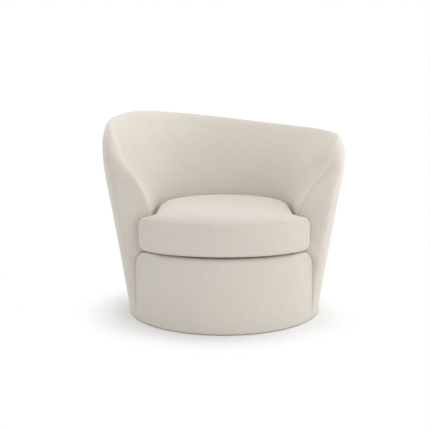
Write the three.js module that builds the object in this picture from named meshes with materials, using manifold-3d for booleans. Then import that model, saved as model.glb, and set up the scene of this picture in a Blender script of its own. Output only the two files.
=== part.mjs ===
// Swivel barrel chair: a flared upholstered shell with a sloping rim on a round swivel plinth.
// Millimetres, +Z up, front towards -Y. The origin is on the swivel axis at the floor.
import * as THREE from 'three';
import Module from 'manifold-3d';
import { mergeVertices } from 'three/addons/utils/BufferGeometryUtils.js';

const wasm = await Module();
wasm.setup();

// Driving dimensions of the upholstered shell
const DRUM_RADIUS = 370;
const FLARE = 92;
const SHELL_RADIUS = DRUM_RADIUS + FLARE;
const SHELL_WIDEST_HEIGHT = 640;
const RIM_HIGH = 768;
const RIM_LOW = 699;
const ARM_DIP_HIGH = 50;
const ARM_DIP_LOW = 30;
const HEM_HEIGHT = 4;
const APRON_TOP = 276;
const SEAT_SEAM_HEIGHT = 388;
const ARM_FACE_TOP = 495;
const WELL_INSET = 101;
const WELL_CENTRE = 16;
const RIM_THICKNESS = 56;
const FACE_SETBACK_SHARE = 0.5135;
const WELL_HALF_WIDTH = DRUM_RADIUS - WELL_INSET;
const WELL_TOP_RADIUS = SHELL_RADIUS - RIM_THICKNESS;
const FACE_SETBACK = DRUM_RADIUS * FACE_SETBACK_SHARE;

// Rim roll, facings and covers
const ROLL_OUTER_DROP = 80;
const ROLL_INNER_DROP = 45;
const ROLL_OUTER_REACH = 96;
const ROLL_INNER_REACH = 78;
const EDGE_DEPTH = 25;
const EDGE_DEPTH_LOW = 8;
const FACE_CROWN = 15;
const FACE_CROWN_LOW = 5;
const COVER_THICKNESS = 8;
const LINING_THICKNESS = 36;
const LINING_BOTTOM = 258;
const APRON_ROUNDING = 26;
const APRON_LIP = 40;
const APRON_LIP_END = 12;
const APRON_CORNER_DROP = 56;

// Angles in degrees: round the chair they are measured from the middle of the back
const ARM_ANGLE = 116.8;
const ARM_CORNER_ANGLE = 21.8;
const CREASE_ANGLE = 124;
const RIM_TURN_ANGLE = 60;
const ARM_DIP_START_ANGLE = 48;
const APRON_HALF_ANGLE = 62.8;
const APRON_FULL_ANGLE = 51;

// Frame of the turning body
const BOARD_THICKNESS = 18;
const PLY_THICKNESS = 18;
const BASE_BOARD_INSET = 9;
const BASE_BOARD_RADIUS = DRUM_RADIUS - BASE_BOARD_INSET;
const BASE_BOARD_BORE = 78;
const PANEL_THICKNESS = 6;
const PANEL_TOP = 240;
const PANEL_HALF_ANGLE = 57;
const RAIL_TOP = 205;
const RAIL_HEIGHT = 40;
const FRONT_RAIL_INSET = 70;
const FRONT_RAIL_INNER_RADIUS = DRUM_RADIUS - FRONT_RAIL_INSET;
const BACK_RAIL_OUTSIDE_WELL = 15;
const BACK_RAIL_OUTER_RADIUS = WELL_HALF_WIDTH + WELL_CENTRE + BACK_RAIL_OUTSIDE_WELL;
const RAIL_WIDTH = 30;
const SIDE_RAIL_THICKNESS = 22;
const BACK_RAIL_HALF_ANGLE = 86;
const TOP_RAIL_THICKNESS = 15;
const TOP_RAIL_HEIGHT = 34;
const TOP_RAIL_END_TURN = 50;
const RIB_COUNT = 7;
const RIB_HALF_SPREAD = 84;
const ARM_BOARD_BEHIND_EDGE = 14;
const ARM_BOARD_FRONT = FACE_SETBACK - EDGE_DEPTH - ARM_BOARD_BEHIND_EDGE;
const ARM_BOARD_TOP = 492;
const FRAME_CLEARANCE = 2.4;

// Springs and deck
const SPRING_COUNT = 5;
const SPRING_SPACING = 90;
const SPRING_WIRE = 4;
const SPRING_HALF_WIDTH = 24;
const SPRING_PITCH = 33;
const SPRING_SEAT = 6;
const DECK_THICKNESS = 34;
const CLIP_WIDTH = 14;
const CLIP_SHEET = 1.6;
const CLIP_INSET = 12;

// Swivel base
const FLOOR_PAD_THICKNESS = 4;
const PLINTH_RADIUS = 250;
const PLINTH_THICKNESS = 18;
const PLATE_SIDE = 230;
const PLATE_SHEET = 2;
const BEARING_BORE = 70;
const RACE_RADIUS = 92;
const BALL_RADIUS = 4;
const BALL_COUNT = 16;
const CAGE_WIDTH = 14;
const CAGE_SHEET = 2.4;
const LIP_WIDTH = 8;
const LIP_GAP = 1.2;
const PLATE_RISE = 5;
const FASTENER_INSET = 18;
const SCREW_RADIUS = 2.5;
const SCREW_HEAD_RADIUS = 5;
const SCREW_HEAD_HEIGHT = 2.2;
const SCREW_LENGTH = 14;
const BOLT_RADIUS = 3;
const BOLT_HEAD_RADIUS = 8;
const BOLT_HEAD_HEIGHT = 4;
const DUST_COVER_THICKNESS = 1;

// Loose seat cushion
const CUSHION_CROWN = 34;
const CUSHION_SIDE_GAP = 3;
const CUSHION_OVERHANG = 6;
const CUSHION_EDGE = 12;
const CUSHION_BULGE = 2;
const CUSHION_EAR_GAP = 2;
const CUSHION_CORNER = 12;

// Clearances: gap between seated pieces, and one overrun for every cut
const GAP = 0.3;
const FIT = 0.6;
const OVERRUN = 5;

const LEFT = -1;
const RIGHT = 1;

const CLOTH = { color: 0xcfc8bc, roughness: 0.92, metalness: 0 };
const FOAM = { color: 0xe6dfc4, roughness: 0.95, metalness: 0 };
const PLY = { color: 0xc9a677, roughness: 0.7, metalness: 0 };
const STEEL = { color: 0x8f9499, roughness: 0.42, metalness: 0.9 };
const FELT = { color: 0x4a4a4a, roughness: 0.98, metalness: 0 };

const radians = THREE.MathUtils.degToRad;
const degrees = THREE.MathUtils.radToDeg;
const clamp01 = (value) => THREE.MathUtils.clamp(value, 0, 1);
const smooth = (value) => THREE.MathUtils.smoothstep(value, 0, 1);
const mix = THREE.MathUtils.lerp;
const cosd = (angle) => Math.cos(radians(angle));
const sind = (angle) => Math.sin(radians(angle));

// A point at a plan angle from the middle of the back, on the right for positive angles
const polar = (angle, radius, height) =>
  new THREE.Vector3(radius * sind(angle), radius * cosd(angle), height);

// Outside of the shell: nearly a cone, which turns upright where the rim roll begins
const FLARE_END_SHARE = 0.8125;
const FLARE_POWER = 1.08;
function wallRadius(height) {
  const flareEnd = SHELL_WIDEST_HEIGHT * FLARE_END_SHARE;
  const easing = SHELL_WIDEST_HEIGHT - flareEnd;
  const coneFlare = FLARE / (1 + (FLARE_POWER * easing) / (2 * flareEnd));
  if (height < flareEnd) {
    return DRUM_RADIUS + coneFlare * Math.pow(Math.max(height, 0) / flareEnd, FLARE_POWER);
  }
  const past = Math.min(height - flareEnd, easing);
  const slope = (FLARE_POWER * coneFlare) / flareEnd;
  return DRUM_RADIUS + coneFlare + slope * (past - (past * past) / (2 * easing));
}

// Height of the rim: an S-curve from the high to the low side, which dips towards the arms
const ARM_DIP_POWER = 1.6;
function rimHeight(angle) {
  const turn = smooth((RIM_TURN_ANGLE + angle) / (2 * RIM_TURN_ANGLE));
  const reach = ARM_ANGLE - ARM_CORNER_ANGLE - ARM_DIP_START_ANGLE;
  const dip = clamp01((Math.abs(angle) - ARM_DIP_START_ANGLE) / reach);
  const dipDepth = angle < 0 ? ARM_DIP_HIGH : ARM_DIP_LOW;
  return mix(RIM_HIGH, RIM_LOW, turn) - dipDepth * Math.pow(dip, ARM_DIP_POWER);
}

// Plan of the seat well: a half circle at the back with straight sides to the front
function wellRadius(angle, halfWidth = WELL_HALF_WIDTH) {
  const across = WELL_CENTRE * sind(angle);
  const onCircle = WELL_CENTRE * cosd(angle) + Math.sqrt(halfWidth * halfWidth - across * across);
  if (onCircle * cosd(angle) >= WELL_CENTRE) return onCircle;
  return halfWidth / Math.abs(sind(angle));
}

// Inside of the shell: upright beside the cushion, then leaning out more and more to the rim.
// Beside the arm faces it leans out sooner and stands upright again under the roll.
const LEAN_POWER = 1.5;
const LEAN_ARM_FROM_ANGLE = 65;
const LEAN_ARM_TO_ANGLE = 112;
const ARM_LEAN_BELOW_RIM = 95;
function innerRadius(angle, height) {
  const above = height - SEAT_SEAM_HEIGHT;
  const rise = rimHeight(angle) - SEAT_SEAM_HEIGHT;
  const back = Math.pow(clamp01(above / (rise - ROLL_INNER_DROP)), LEAN_POWER);
  const arm = smooth(above / (rise - ARM_LEAN_BELOW_RIM));
  const forward = smooth((Math.abs(angle) - LEAN_ARM_FROM_ANGLE)
    / (LEAN_ARM_TO_ANGLE - LEAN_ARM_FROM_ANGLE));
  return mix(wellRadius(angle), WELL_TOP_RADIUS, mix(back, arm, forward));
}

function wellNormal(angle) {
  const point = polar(angle, wellRadius(angle), 0);
  if (point.y < WELL_CENTRE) return new THREE.Vector3(Math.sign(point.x), 0, 0);
  return new THREE.Vector3(point.x, point.y - WELL_CENTRE, 0).normalize();
}

// The shell's edge runs up one arm, over its corner, round the rim and down the other arm.
// A station knows how far it has turned from the upright arm face (0) to the rim (90).
const TOP_OUTER = (side) => rimHeight(side * (ARM_ANGLE - ARM_CORNER_ANGLE)) - ROLL_OUTER_DROP;
const TOP_INNER = (side) => rimHeight(side * (ARM_ANGLE - ARM_CORNER_ANGLE)) - ROLL_INNER_DROP;

function cornerStation(side, turn) {
  const rimAngle = ARM_ANGLE - ARM_CORNER_ANGLE;
  return {
    side,
    turn,
    outerAngle: side * mix(ARM_ANGLE, rimAngle, 1 - cosd(turn)),
    outerHeight: mix(ARM_FACE_TOP, TOP_OUTER(side), sind(turn)),
    innerAngle: side * mix(CREASE_ANGLE, rimAngle, 1 - cosd(turn)),
    innerHeight: mix(ARM_FACE_TOP, TOP_INNER(side), sind(turn)),
  };
}

// Turn of the edge from the upright arm face over its corner to the level rim, in degrees
const QUARTER_TURN = 90;

function rimStation(angle) {
  return {
    side: Math.sign(angle) || RIGHT,
    turn: QUARTER_TURN,
    outerAngle: angle,
    outerHeight: rimHeight(angle) - ROLL_OUTER_DROP,
    innerAngle: angle,
    innerHeight: rimHeight(angle) - ROLL_INNER_DROP,
  };
}

const CORNER_STEPS = 7;
const RIM_STEPS = 30;
function edgeStations() {
  const rimAngle = ARM_ANGLE - ARM_CORNER_ANGLE;
  const stations = [];
  for (let i = 0; i < CORNER_STEPS; i += 1) {
    stations.push(cornerStation(LEFT, (QUARTER_TURN * i) / CORNER_STEPS));
  }
  for (let i = 0; i <= RIM_STEPS; i += 1) {
    stations.push(rimStation(mix(-rimAngle, rimAngle, i / RIM_STEPS)));
  }
  for (let i = CORNER_STEPS - 1; i >= 0; i -= 1) {
    stations.push(cornerStation(RIGHT, (QUARTER_TURN * i) / CORNER_STEPS));
  }
  return stations;
}

// Points on the outside and the inside of the wall, a depth behind the edge of a station
function outerPoint(station, depth, inset = 0) {
  const height = station.outerHeight - depth * sind(station.turn);
  const radius = wallRadius(height);
  const back = degrees((depth * cosd(station.turn)) / radius);
  return polar(station.outerAngle - station.side * back, radius - inset, height);
}

function innerPoint(station, depth) {
  const drop = (depth + ROLL_OUTER_DROP - ROLL_INNER_DROP) * sind(station.turn);
  const height = station.innerHeight - (depth > 0 ? drop : 0);
  const edge = polar(station.innerAngle, innerRadius(station.innerAngle, height), height);
  edge.y += depth * cosd(station.turn);
  const angle = degrees(Math.atan2(edge.x, edge.y));
  return polar(angle, innerRadius(angle, height), height);
}

// Closed solid through rings of equal count. Ends are closed as a strip or from the middle.
function solidFromRings(rings, { strip = false, closed = false } = {}) {
  const count = rings[0].length;
  const positions = rings.flat().flatMap((point) => [point.x, point.y, point.z]);
  const index = [];
  const spans = closed ? rings.length : rings.length - 1;
  for (let i = 0; i < spans; i += 1) {
    const here = i * count;
    const next = ((i + 1) % rings.length) * count;
    for (let j = 0; j < count; j += 1) {
      const k = (j + 1) % count;
      index.push(here + j, here + k, next + k, here + j, next + k, next + j);
    }
  }
  const cap = (start, flip) => {
    const add = (a, b, c) => (flip ? index.push(a, b, c) : index.push(c, b, a));
    if (strip) {
      for (let j = 0; j < count / 2 - 1; j += 1) {
        const opposite = count - 1 - j;
        add(start + j, start + opposite, start + j + 1);
        add(start + j + 1, start + opposite, start + opposite - 1);
      }
      return;
    }
    const centre = new THREE.Vector3();
    const ring = rings[start / count];
    ring.forEach((point) => centre.add(point));
    centre.divideScalar(count);
    const middle = positions.length / 3;
    positions.push(centre.x, centre.y, centre.z);
    for (let j = 0; j < count; j += 1) add(start + j, middle, start + ((j + 1) % count));
  };
  if (!closed) {
    cap(0, true);
    cap((rings.length - 1) * count, false);
  }
  const geometry = new THREE.BufferGeometry();
  geometry.setAttribute('position', new THREE.Float32BufferAttribute(positions, 3));
  geometry.setIndex(index);
  return faceOut(geometry);
}

// Turns every face round where the closed form has a negative volume
function faceOut(geometry) {
  const position = geometry.getAttribute('position');
  const index = geometry.getIndex().array;
  const corners = [new THREE.Vector3(), new THREE.Vector3(), new THREE.Vector3()];
  let volume = 0;
  for (let i = 0; i < index.length; i += 3) {
    corners.forEach((corner, j) => corner.fromBufferAttribute(position, index[i + j]));
    volume += corners[0].dot(corners[1].cross(corners[2]));
  }
  if (volume < 0) {
    for (let i = 0; i < index.length; i += 3) {
      [index[i], index[i + 1]] = [index[i + 1], index[i]];
    }
  }
  return geometry;
}

function toManifold(source) {
  const bare = source.clone();
  bare.deleteAttribute('normal');
  bare.deleteAttribute('uv');
  const merged = mergeVertices(bare);
  return new wasm.Manifold(new wasm.Mesh({
    numProp: 3,
    vertProperties: new Float32Array(merged.getAttribute('position').array),
    triVerts: new Uint32Array(merged.getIndex().array),
  }));
}

function fromManifold(solid) {
  const { vertProperties, triVerts } = solid.getMesh();
  const geometry = new THREE.BufferGeometry();
  geometry.setAttribute('position', new THREE.BufferAttribute(vertProperties, 3));
  geometry.setIndex(new THREE.BufferAttribute(triVerts, 1));
  return geometry;
}

const chair = new THREE.Group();
function addPiece(name, geometry, finish, place = {}) {
  const mesh = new THREE.Mesh(geometry, new THREE.MeshStandardMaterial(finish));
  mesh.name = name;
  if (place.position) mesh.position.copy(place.position);
  if (place.rotation) mesh.rotation.set(...place.rotation);
  chair.add(mesh);
  return mesh;
}

// Plate with an outline in plan, rising from z = 0
function plate(outline, thickness, holes = []) {
  const shape = new THREE.Shape(outline);
  holes.forEach((hole) => shape.holes.push(new THREE.Path(hole)));
  return new THREE.ExtrudeGeometry(shape, { depth: thickness, bevelEnabled: false });
}

function circlePoints(radius, count, x = 0, y = 0) {
  return Array.from({ length: count }, (_, i) => {
    const turn = (2 * Math.PI * i) / count;
    return new THREE.Vector2(x + radius * Math.cos(turn), y + radius * Math.sin(turn));
  });
}

// Plan sector between two radii, its middle angle measured from the back
function sectorPoints(inner, outer, fromAngle, toAngle, steps) {
  const points = [];
  for (let i = 0; i <= steps; i += 1) {
    const point = polar(mix(fromAngle, toAngle, i / steps), outer, 0);
    points.push(new THREE.Vector2(point.x, point.y));
  }
  for (let i = steps; i >= 0; i -= 1) {
    const point = polar(mix(fromAngle, toAngle, i / steps), inner, 0);
    points.push(new THREE.Vector2(point.x, point.y));
  }
  return points;
}

const at = (height) => ({ position: new THREE.Vector3(0, 0, height) });

// Heights of the swivel stack, from the floor up
const PLINTH_BOTTOM = FLOOR_PAD_THICKNESS + GAP;
const LOWER_PLATE_BOTTOM = PLINTH_BOTTOM + PLINTH_THICKNESS + GAP;
const RAISED_BOTTOM = LOWER_PLATE_BOTTOM + PLATE_RISE;
const BALL_CENTRE = RAISED_BOTTOM + PLATE_SHEET + BALL_RADIUS + GAP;
const UPPER_RACE_BOTTOM = BALL_CENTRE + BALL_RADIUS + GAP;
const UPPER_PLATE_TOP = UPPER_RACE_BOTTOM + PLATE_SHEET;
const BASE_BOARD_BOTTOM = UPPER_PLATE_TOP + GAP;
const BASE_BOARD_TOP = BASE_BOARD_BOTTOM + BOARD_THICKNESS;
const FRAME_BOTTOM = BASE_BOARD_TOP + GAP;
const FASTENER_REACH = PLATE_SIDE / 2 - FASTENER_INSET;

// Swivel base: felt pad, plinth, and the fixed half of the bearing
const ROUND_STEPS = 40;
function buildBase() {
  const felt = plate(circlePoints(PLINTH_RADIUS, ROUND_STEPS), FLOOR_PAD_THICKNESS);
  addPiece('floor_pad', felt, FELT);
  const corners = fastenerCorners();
  const pilot = SCREW_RADIUS + FIT;
  const holes = corners.map((corner) => circlePoints(pilot, 12, corner.x, corner.y));
  const plinth = plate(circlePoints(PLINTH_RADIUS, ROUND_STEPS), PLINTH_THICKNESS, holes);
  addPiece('plinth', plinth, PLY, at(PLINTH_BOTTOM));
  addPiece('lower_swivel_plate', lowerPlate(), STEEL);
  corners.forEach((corner, i) => {
    const place = new THREE.Vector3(corner.x, corner.y, LOWER_PLATE_BOTTOM + PLATE_SHEET + GAP);
    addPiece(`plinth_screw_${i + 1}`, screw(), STEEL, { position: place });
  });
}

function fastenerCorners() {
  return [[-1, -1], [1, -1], [1, 1], [-1, 1]].map(
    ([x, y]) => new THREE.Vector2(x * FASTENER_REACH, y * FASTENER_REACH));
}

function screw() {
  return new THREE.LatheGeometry([
    new THREE.Vector2(0, -SCREW_LENGTH),
    new THREE.Vector2(SCREW_RADIUS, -SCREW_LENGTH + SCREW_RADIUS),
    new THREE.Vector2(SCREW_RADIUS, 0),
    new THREE.Vector2(SCREW_HEAD_RADIUS, 0),
    new THREE.Vector2(SCREW_HEAD_RADIUS - SCREW_RADIUS / 2, SCREW_HEAD_HEIGHT),
    new THREE.Vector2(0, SCREW_HEAD_HEIGHT),
  ], 12).rotateX(Math.PI / 2);
}

// Square flange round a bore, with clearance holes for its fasteners
function flange(height, bore, holeRadius) {
  const reach = PLATE_SIDE / 2;
  const outline = [[-1, -1], [1, -1], [1, 1], [-1, 1]].map(
    ([x, y]) => new THREE.Vector2(x * reach, y * reach));
  const holes = fastenerCorners().map((c) => circlePoints(holeRadius, 12, c.x, c.y));
  holes.push(circlePoints(bore, ROUND_STEPS));
  return plate(outline, PLATE_SHEET, holes).translate(0, 0, height);
}

function ringOfRevolution(profile) {
  const points = profile.map(([radius, height]) => new THREE.Vector2(radius, height));
  points.push(points[0].clone());
  return new THREE.LatheGeometry(points, ROUND_STEPS).rotateX(Math.PI / 2);
}

// Pressed lower plate: flat flange, a raised ring that carries the balls, and an open bore
function lowerPlate() {
  const rim = RACE_RADIUS + CAGE_WIDTH;
  const raised = ringOfRevolution([
    [BEARING_BORE + LIP_WIDTH / 2, RAISED_BOTTOM],
    [rim - PLATE_SHEET, RAISED_BOTTOM],
    [rim - PLATE_SHEET, LOWER_PLATE_BOTTOM],
    [rim + PLATE_SHEET, LOWER_PLATE_BOTTOM],
    [rim + PLATE_SHEET, LOWER_PLATE_BOTTOM + PLATE_SHEET],
    [rim, LOWER_PLATE_BOTTOM + PLATE_SHEET],
    [rim, RAISED_BOTTOM + PLATE_SHEET],
    [BEARING_BORE + LIP_WIDTH / 2, RAISED_BOTTOM + PLATE_SHEET],
  ]);
  const base = flange(LOWER_PLATE_BOTTOM, rim + PLATE_SHEET / 2, SCREW_RADIUS + GAP);
  return fromManifold(toManifold(base).add(toManifold(raised)));
}

// Pressed upper plate: its rolled lip passes down the bore and hooks under the lower plate
function upperPlate() {
  const lipOuter = BEARING_BORE + LIP_WIDTH / 2 - LIP_GAP;
  const hookTop = RAISED_BOTTOM - LIP_GAP;
  const lip = ringOfRevolution([
    [lipOuter - PLATE_SHEET, UPPER_PLATE_TOP],
    [lipOuter - PLATE_SHEET, hookTop - PLATE_SHEET],
    [lipOuter + LIP_WIDTH, hookTop - PLATE_SHEET],
    [lipOuter + LIP_WIDTH, hookTop],
    [lipOuter, hookTop],
    [lipOuter, UPPER_RACE_BOTTOM],
    [lipOuter + LIP_WIDTH, UPPER_RACE_BOTTOM],
    [lipOuter + LIP_WIDTH, UPPER_PLATE_TOP],
  ]);
  const base = flange(UPPER_RACE_BOTTOM, lipOuter + LIP_WIDTH / 2, BOLT_RADIUS + GAP);
  return fromManifold(toManifold(base).add(toManifold(lip)));
}

// Ball cage: a flat ring with the balls held in it
function ballCage() {
  let cage = toManifold(ringOfRevolution([
    [RACE_RADIUS - CAGE_WIDTH / 2, BALL_CENTRE - CAGE_SHEET / 2],
    [RACE_RADIUS + CAGE_WIDTH / 2, BALL_CENTRE - CAGE_SHEET / 2],
    [RACE_RADIUS + CAGE_WIDTH / 2, BALL_CENTRE + CAGE_SHEET / 2],
    [RACE_RADIUS - CAGE_WIDTH / 2, BALL_CENTRE + CAGE_SHEET / 2],
  ]));
  for (let i = 0; i < BALL_COUNT; i += 1) {
    const place = polar((360 * i) / BALL_COUNT, RACE_RADIUS, BALL_CENTRE);
    const ball = new THREE.SphereGeometry(BALL_RADIUS, 7, 4).rotateX(Math.PI / 2);
    cage = cage.add(toManifold(ball.translate(place.x, place.y, place.z)));
  }
  return fromManifold(cage);
}

// Turning part of the stack: upper plate, bolts, base board and dust cover
function buildTurntable() {
  addPiece('ball_cage', ballCage(), STEEL);
  addPiece('upper_swivel_plate', upperPlate(), STEEL);
  const corners = fastenerCorners();
  const bore = circlePoints(BASE_BOARD_BORE, ROUND_STEPS);
  const holes = corners.map((c) => circlePoints(BOLT_RADIUS + FIT, 12, c.x, c.y));
  const board = plate(circlePoints(BASE_BOARD_RADIUS, ROUND_STEPS), BOARD_THICKNESS,
    [bore, ...holes]);
  addPiece('base_board', board, PLY, at(BASE_BOARD_BOTTOM));
  corners.forEach((corner, i) => {
    const place = new THREE.Vector3(corner.x, corner.y, BASE_BOARD_TOP + GAP);
    addPiece(`board_bolt_${i + 1}`, bolt(), STEEL, { position: place });
  });
  const clear = Math.SQRT2 * (PLATE_SIDE / 2) + OVERRUN;
  const cloth = plate(circlePoints(BASE_BOARD_RADIUS - OVERRUN, ROUND_STEPS),
    DUST_COVER_THICKNESS, [circlePoints(clear, ROUND_STEPS)]);
  addPiece('dust_cover', cloth, FELT, at(BASE_BOARD_BOTTOM - GAP - DUST_COVER_THICKNESS));
}

function bolt() {
  const reach = BOARD_THICKNESS + PLATE_SHEET + 2 * GAP;
  return new THREE.LatheGeometry([
    new THREE.Vector2(0, -reach),
    new THREE.Vector2(BOLT_RADIUS, -reach),
    new THREE.Vector2(BOLT_RADIUS, 0),
    new THREE.Vector2(BOLT_HEAD_RADIUS, 0),
    new THREE.Vector2(BOLT_HEAD_RADIUS - BOLT_RADIUS, BOLT_HEAD_HEIGHT),
    new THREE.Vector2(0, BOLT_HEAD_HEIGHT),
  ], 12).rotateX(Math.PI / 2);
}

// Seat frame: bent front panel, front rail, back rail and side rails
const PANEL_OUTER_RADIUS = DRUM_RADIUS - COVER_THICKNESS - GAP - FIT;
const SECTOR_STEPS = 20;
function buildSeatFrame() {
  const panelInner = PANEL_OUTER_RADIUS - PANEL_THICKNESS;
  const panel = plate(sectorPoints(panelInner, PANEL_OUTER_RADIUS,
    180 - PANEL_HALF_ANGLE, 180 + PANEL_HALF_ANGLE, SECTOR_STEPS), PANEL_TOP - FRAME_BOTTOM);
  addPiece('front_panel', panel, PLY, at(FRAME_BOTTOM));
  const railBottom = RAIL_TOP - RAIL_HEIGHT;
  const frontRail = plate(sectorPoints(FRONT_RAIL_INNER_RADIUS, panelInner - GAP,
    180 - PANEL_HALF_ANGLE, 180 + PANEL_HALF_ANGLE, SECTOR_STEPS), RAIL_HEIGHT);
  addPiece('front_rail', frontRail, PLY, at(railBottom));
  const backRail = plate(sectorPoints(BACK_RAIL_OUTER_RADIUS - RAIL_WIDTH,
    BACK_RAIL_OUTER_RADIUS, -BACK_RAIL_HALF_ANGLE, BACK_RAIL_HALF_ANGLE, SECTOR_STEPS),
  RAIL_HEIGHT);
  addPiece('back_rail', backRail, PLY, at(railBottom));
  [LEFT, RIGHT].forEach((side) => addPiece(sideName('side_rail', side), sideRail(side), PLY,
    at(railBottom)));
}

const sideName = (name, side) => `${name}_${side < 0 ? 'left' : 'right'}`;

// Side rail: from the end of the back rail to the front rail, butted on both
function sideRail(side) {
  const outer = BACK_RAIL_OUTER_RADIUS * sind(BACK_RAIL_HALF_ANGLE);
  const inner = outer - SIDE_RAIL_THICKNESS;
  const backY = (x) => x * (cosd(BACK_RAIL_HALF_ANGLE) / sind(BACK_RAIL_HALF_ANGLE)) - GAP;
  const frontInner = FRONT_RAIL_INNER_RADIUS - GAP;
  const frontY = (x) => -Math.sqrt(frontInner * frontInner - x * x);
  const steps = 4;
  const outline = [];
  for (let i = 0; i <= steps; i += 1) {
    const x = mix(inner, outer, i / steps);
    outline.push(new THREE.Vector2(side * x, frontY(x)));
  }
  outline.push(new THREE.Vector2(side * outer, backY(outer)));
  outline.push(new THREE.Vector2(side * inner, backY(inner)));
  if (side < 0) outline.reverse();
  return plate(outline, RAIL_HEIGHT);
}

// Ribs: shaped plywood uprights between the lining and the outside cover
const RIB_ROWS = 8;
function ribAngle(i) {
  return mix(-RIB_HALF_SPREAD, RIB_HALF_SPREAD, i / (RIB_COUNT - 1));
}

function railBottomHeight(angle) {
  return rimHeight(angle) - ROLL_OUTER_DROP - EDGE_DEPTH - GAP - FIT - TOP_RAIL_HEIGHT;
}

function ribGeometry(angle) {
  const halfAngle = degrees(PLY_THICKNESS / 2 / BACK_RAIL_OUTER_RADIUS);
  const top = Math.min(railBottomHeight(angle - halfAngle), railBottomHeight(angle + halfAngle));
  const ribTop = top - FIT;
  const ledge = LINING_BOTTOM - FIT;
  const lining = LINING_THICKNESS + FRAME_CLEARANCE;
  const liningBack = (height) => innerRadius(angle, height) + lining;
  const outerEdge = (height) => wallRadius(height) - COVER_THICKNESS - FRAME_CLEARANCE;
  const outline = [];
  for (let i = 0; i <= RIB_ROWS; i += 1) {
    const height = mix(FRAME_BOTTOM, ribTop, i / RIB_ROWS);
    outline.push(new THREE.Vector2(outerEdge(height), height));
  }
  for (let i = RIB_ROWS; i >= 0; i -= 1) {
    const height = mix(ledge, ribTop, i / RIB_ROWS);
    outline.push(new THREE.Vector2(liningBack(height), height));
  }
  outline.push(new THREE.Vector2(BACK_RAIL_OUTER_RADIUS + GAP, ledge));
  outline.push(new THREE.Vector2(BACK_RAIL_OUTER_RADIUS + GAP, FRAME_BOTTOM));
  const flat = new THREE.ExtrudeGeometry(new THREE.Shape(outline),
    { depth: PLY_THICKNESS, bevelEnabled: false });
  return flat.translate(0, 0, -PLY_THICKNESS / 2).rotateX(Math.PI / 2);
}

function buildRibs() {
  for (let i = 0; i < RIB_COUNT; i += 1) {
    const angle = ribAngle(i);
    addPiece(`rib_${i + 1}`, ribGeometry(angle), PLY, { rotation: [0, 0, radians(QUARTER_TURN - angle)] });
  }
}

// Arm board: the plywood upright behind each arm facing
function armBoard(side) {
  const y = ARM_BOARD_FRONT;
  const outerX = (height) => {
    const radius = wallRadius(height) - COVER_THICKNESS - FRAME_CLEARANCE;
    return Math.sqrt(radius * radius - y * y);
  };
  const wellX = (height, depth) => {
    let x = WELL_HALF_WIDTH;
    for (let i = 0; i < 4; i += 1) {
      const angle = degrees(Math.atan2(x, -depth));
      x = innerRadius(side * angle, height) * sind(angle);
    }
    return x;
  };
  const innerX = (height) => LINING_THICKNESS + FRAME_CLEARANCE
    + Math.max(wellX(height, y), wellX(height, y - PLY_THICKNESS));
  const outline = [];
  for (let i = 0; i <= RIB_ROWS; i += 1) {
    const height = mix(FRAME_BOTTOM, ARM_BOARD_TOP, i / RIB_ROWS);
    outline.push(new THREE.Vector2(side * outerX(height), height));
  }
  for (let i = RIB_ROWS; i >= 0; i -= 1) {
    const height = mix(FRAME_BOTTOM, ARM_BOARD_TOP, i / RIB_ROWS);
    outline.push(new THREE.Vector2(side * innerX(height), height));
  }
  if (side < 0) outline.reverse();
  const flat = new THREE.ExtrudeGeometry(new THREE.Shape(outline),
    { depth: PLY_THICKNESS, bevelEnabled: false });
  return flat.rotateX(Math.PI / 2).translate(0, -y + PLY_THICKNESS, 0);
}

// Top rail: a bent laminate that follows the rim under its roll, from arm to arm
function topRail() {
  const rings = edgeStations()
    .filter((station) => station.turn >= TOP_RAIL_END_TURN)
    .map((station) => {
      const corners = [];
      const top = EDGE_DEPTH + GAP + FIT;
      [top, top + TOP_RAIL_HEIGHT].forEach((depth, row) => {
        const outer = outerPoint(station, depth, COVER_THICKNESS);
        const inner = innerPoint(station, depth);
        const across = outer.clone().sub(inner).normalize();
        inner.addScaledVector(across, LINING_THICKNESS);
        const middle = outer.clone().add(inner).multiplyScalar(0.5);
        const half = TOP_RAIL_THICKNESS / 2;
        const pair = [middle.clone().addScaledVector(across, half),
          middle.clone().addScaledVector(across, -half)];
        corners.push(...(row === 0 ? pair : pair.reverse()));
      });
      return corners;
    });
  return solidFromRings(rings);
}

// Sinuous springs: zigzag wires that arch a little from the front rail to the back rail
const WIRE_CENTRE = RAIL_TOP + GAP + CLIP_SHEET + GAP + SPRING_WIRE / 2;
const DECK_TOP = APRON_TOP - 2 * GAP;
const DECK_BOTTOM = DECK_TOP - DECK_THICKNESS;
const SPRING_RISE = DECK_BOTTOM - GAP - SPRING_WIRE / 2 - WIRE_CENTRE;
const WIRE_SIDES = 4;
const STEPS_PER_BEND = 4;

function springSpan(x) {
  const front = FRONT_RAIL_INNER_RADIUS + CLIP_INSET;
  const back = BACK_RAIL_OUTER_RADIUS - RAIL_WIDTH + CLIP_INSET;
  return { front: -Math.sqrt(front * front - x * x), back: Math.sqrt(back * back - x * x) };
}

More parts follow.
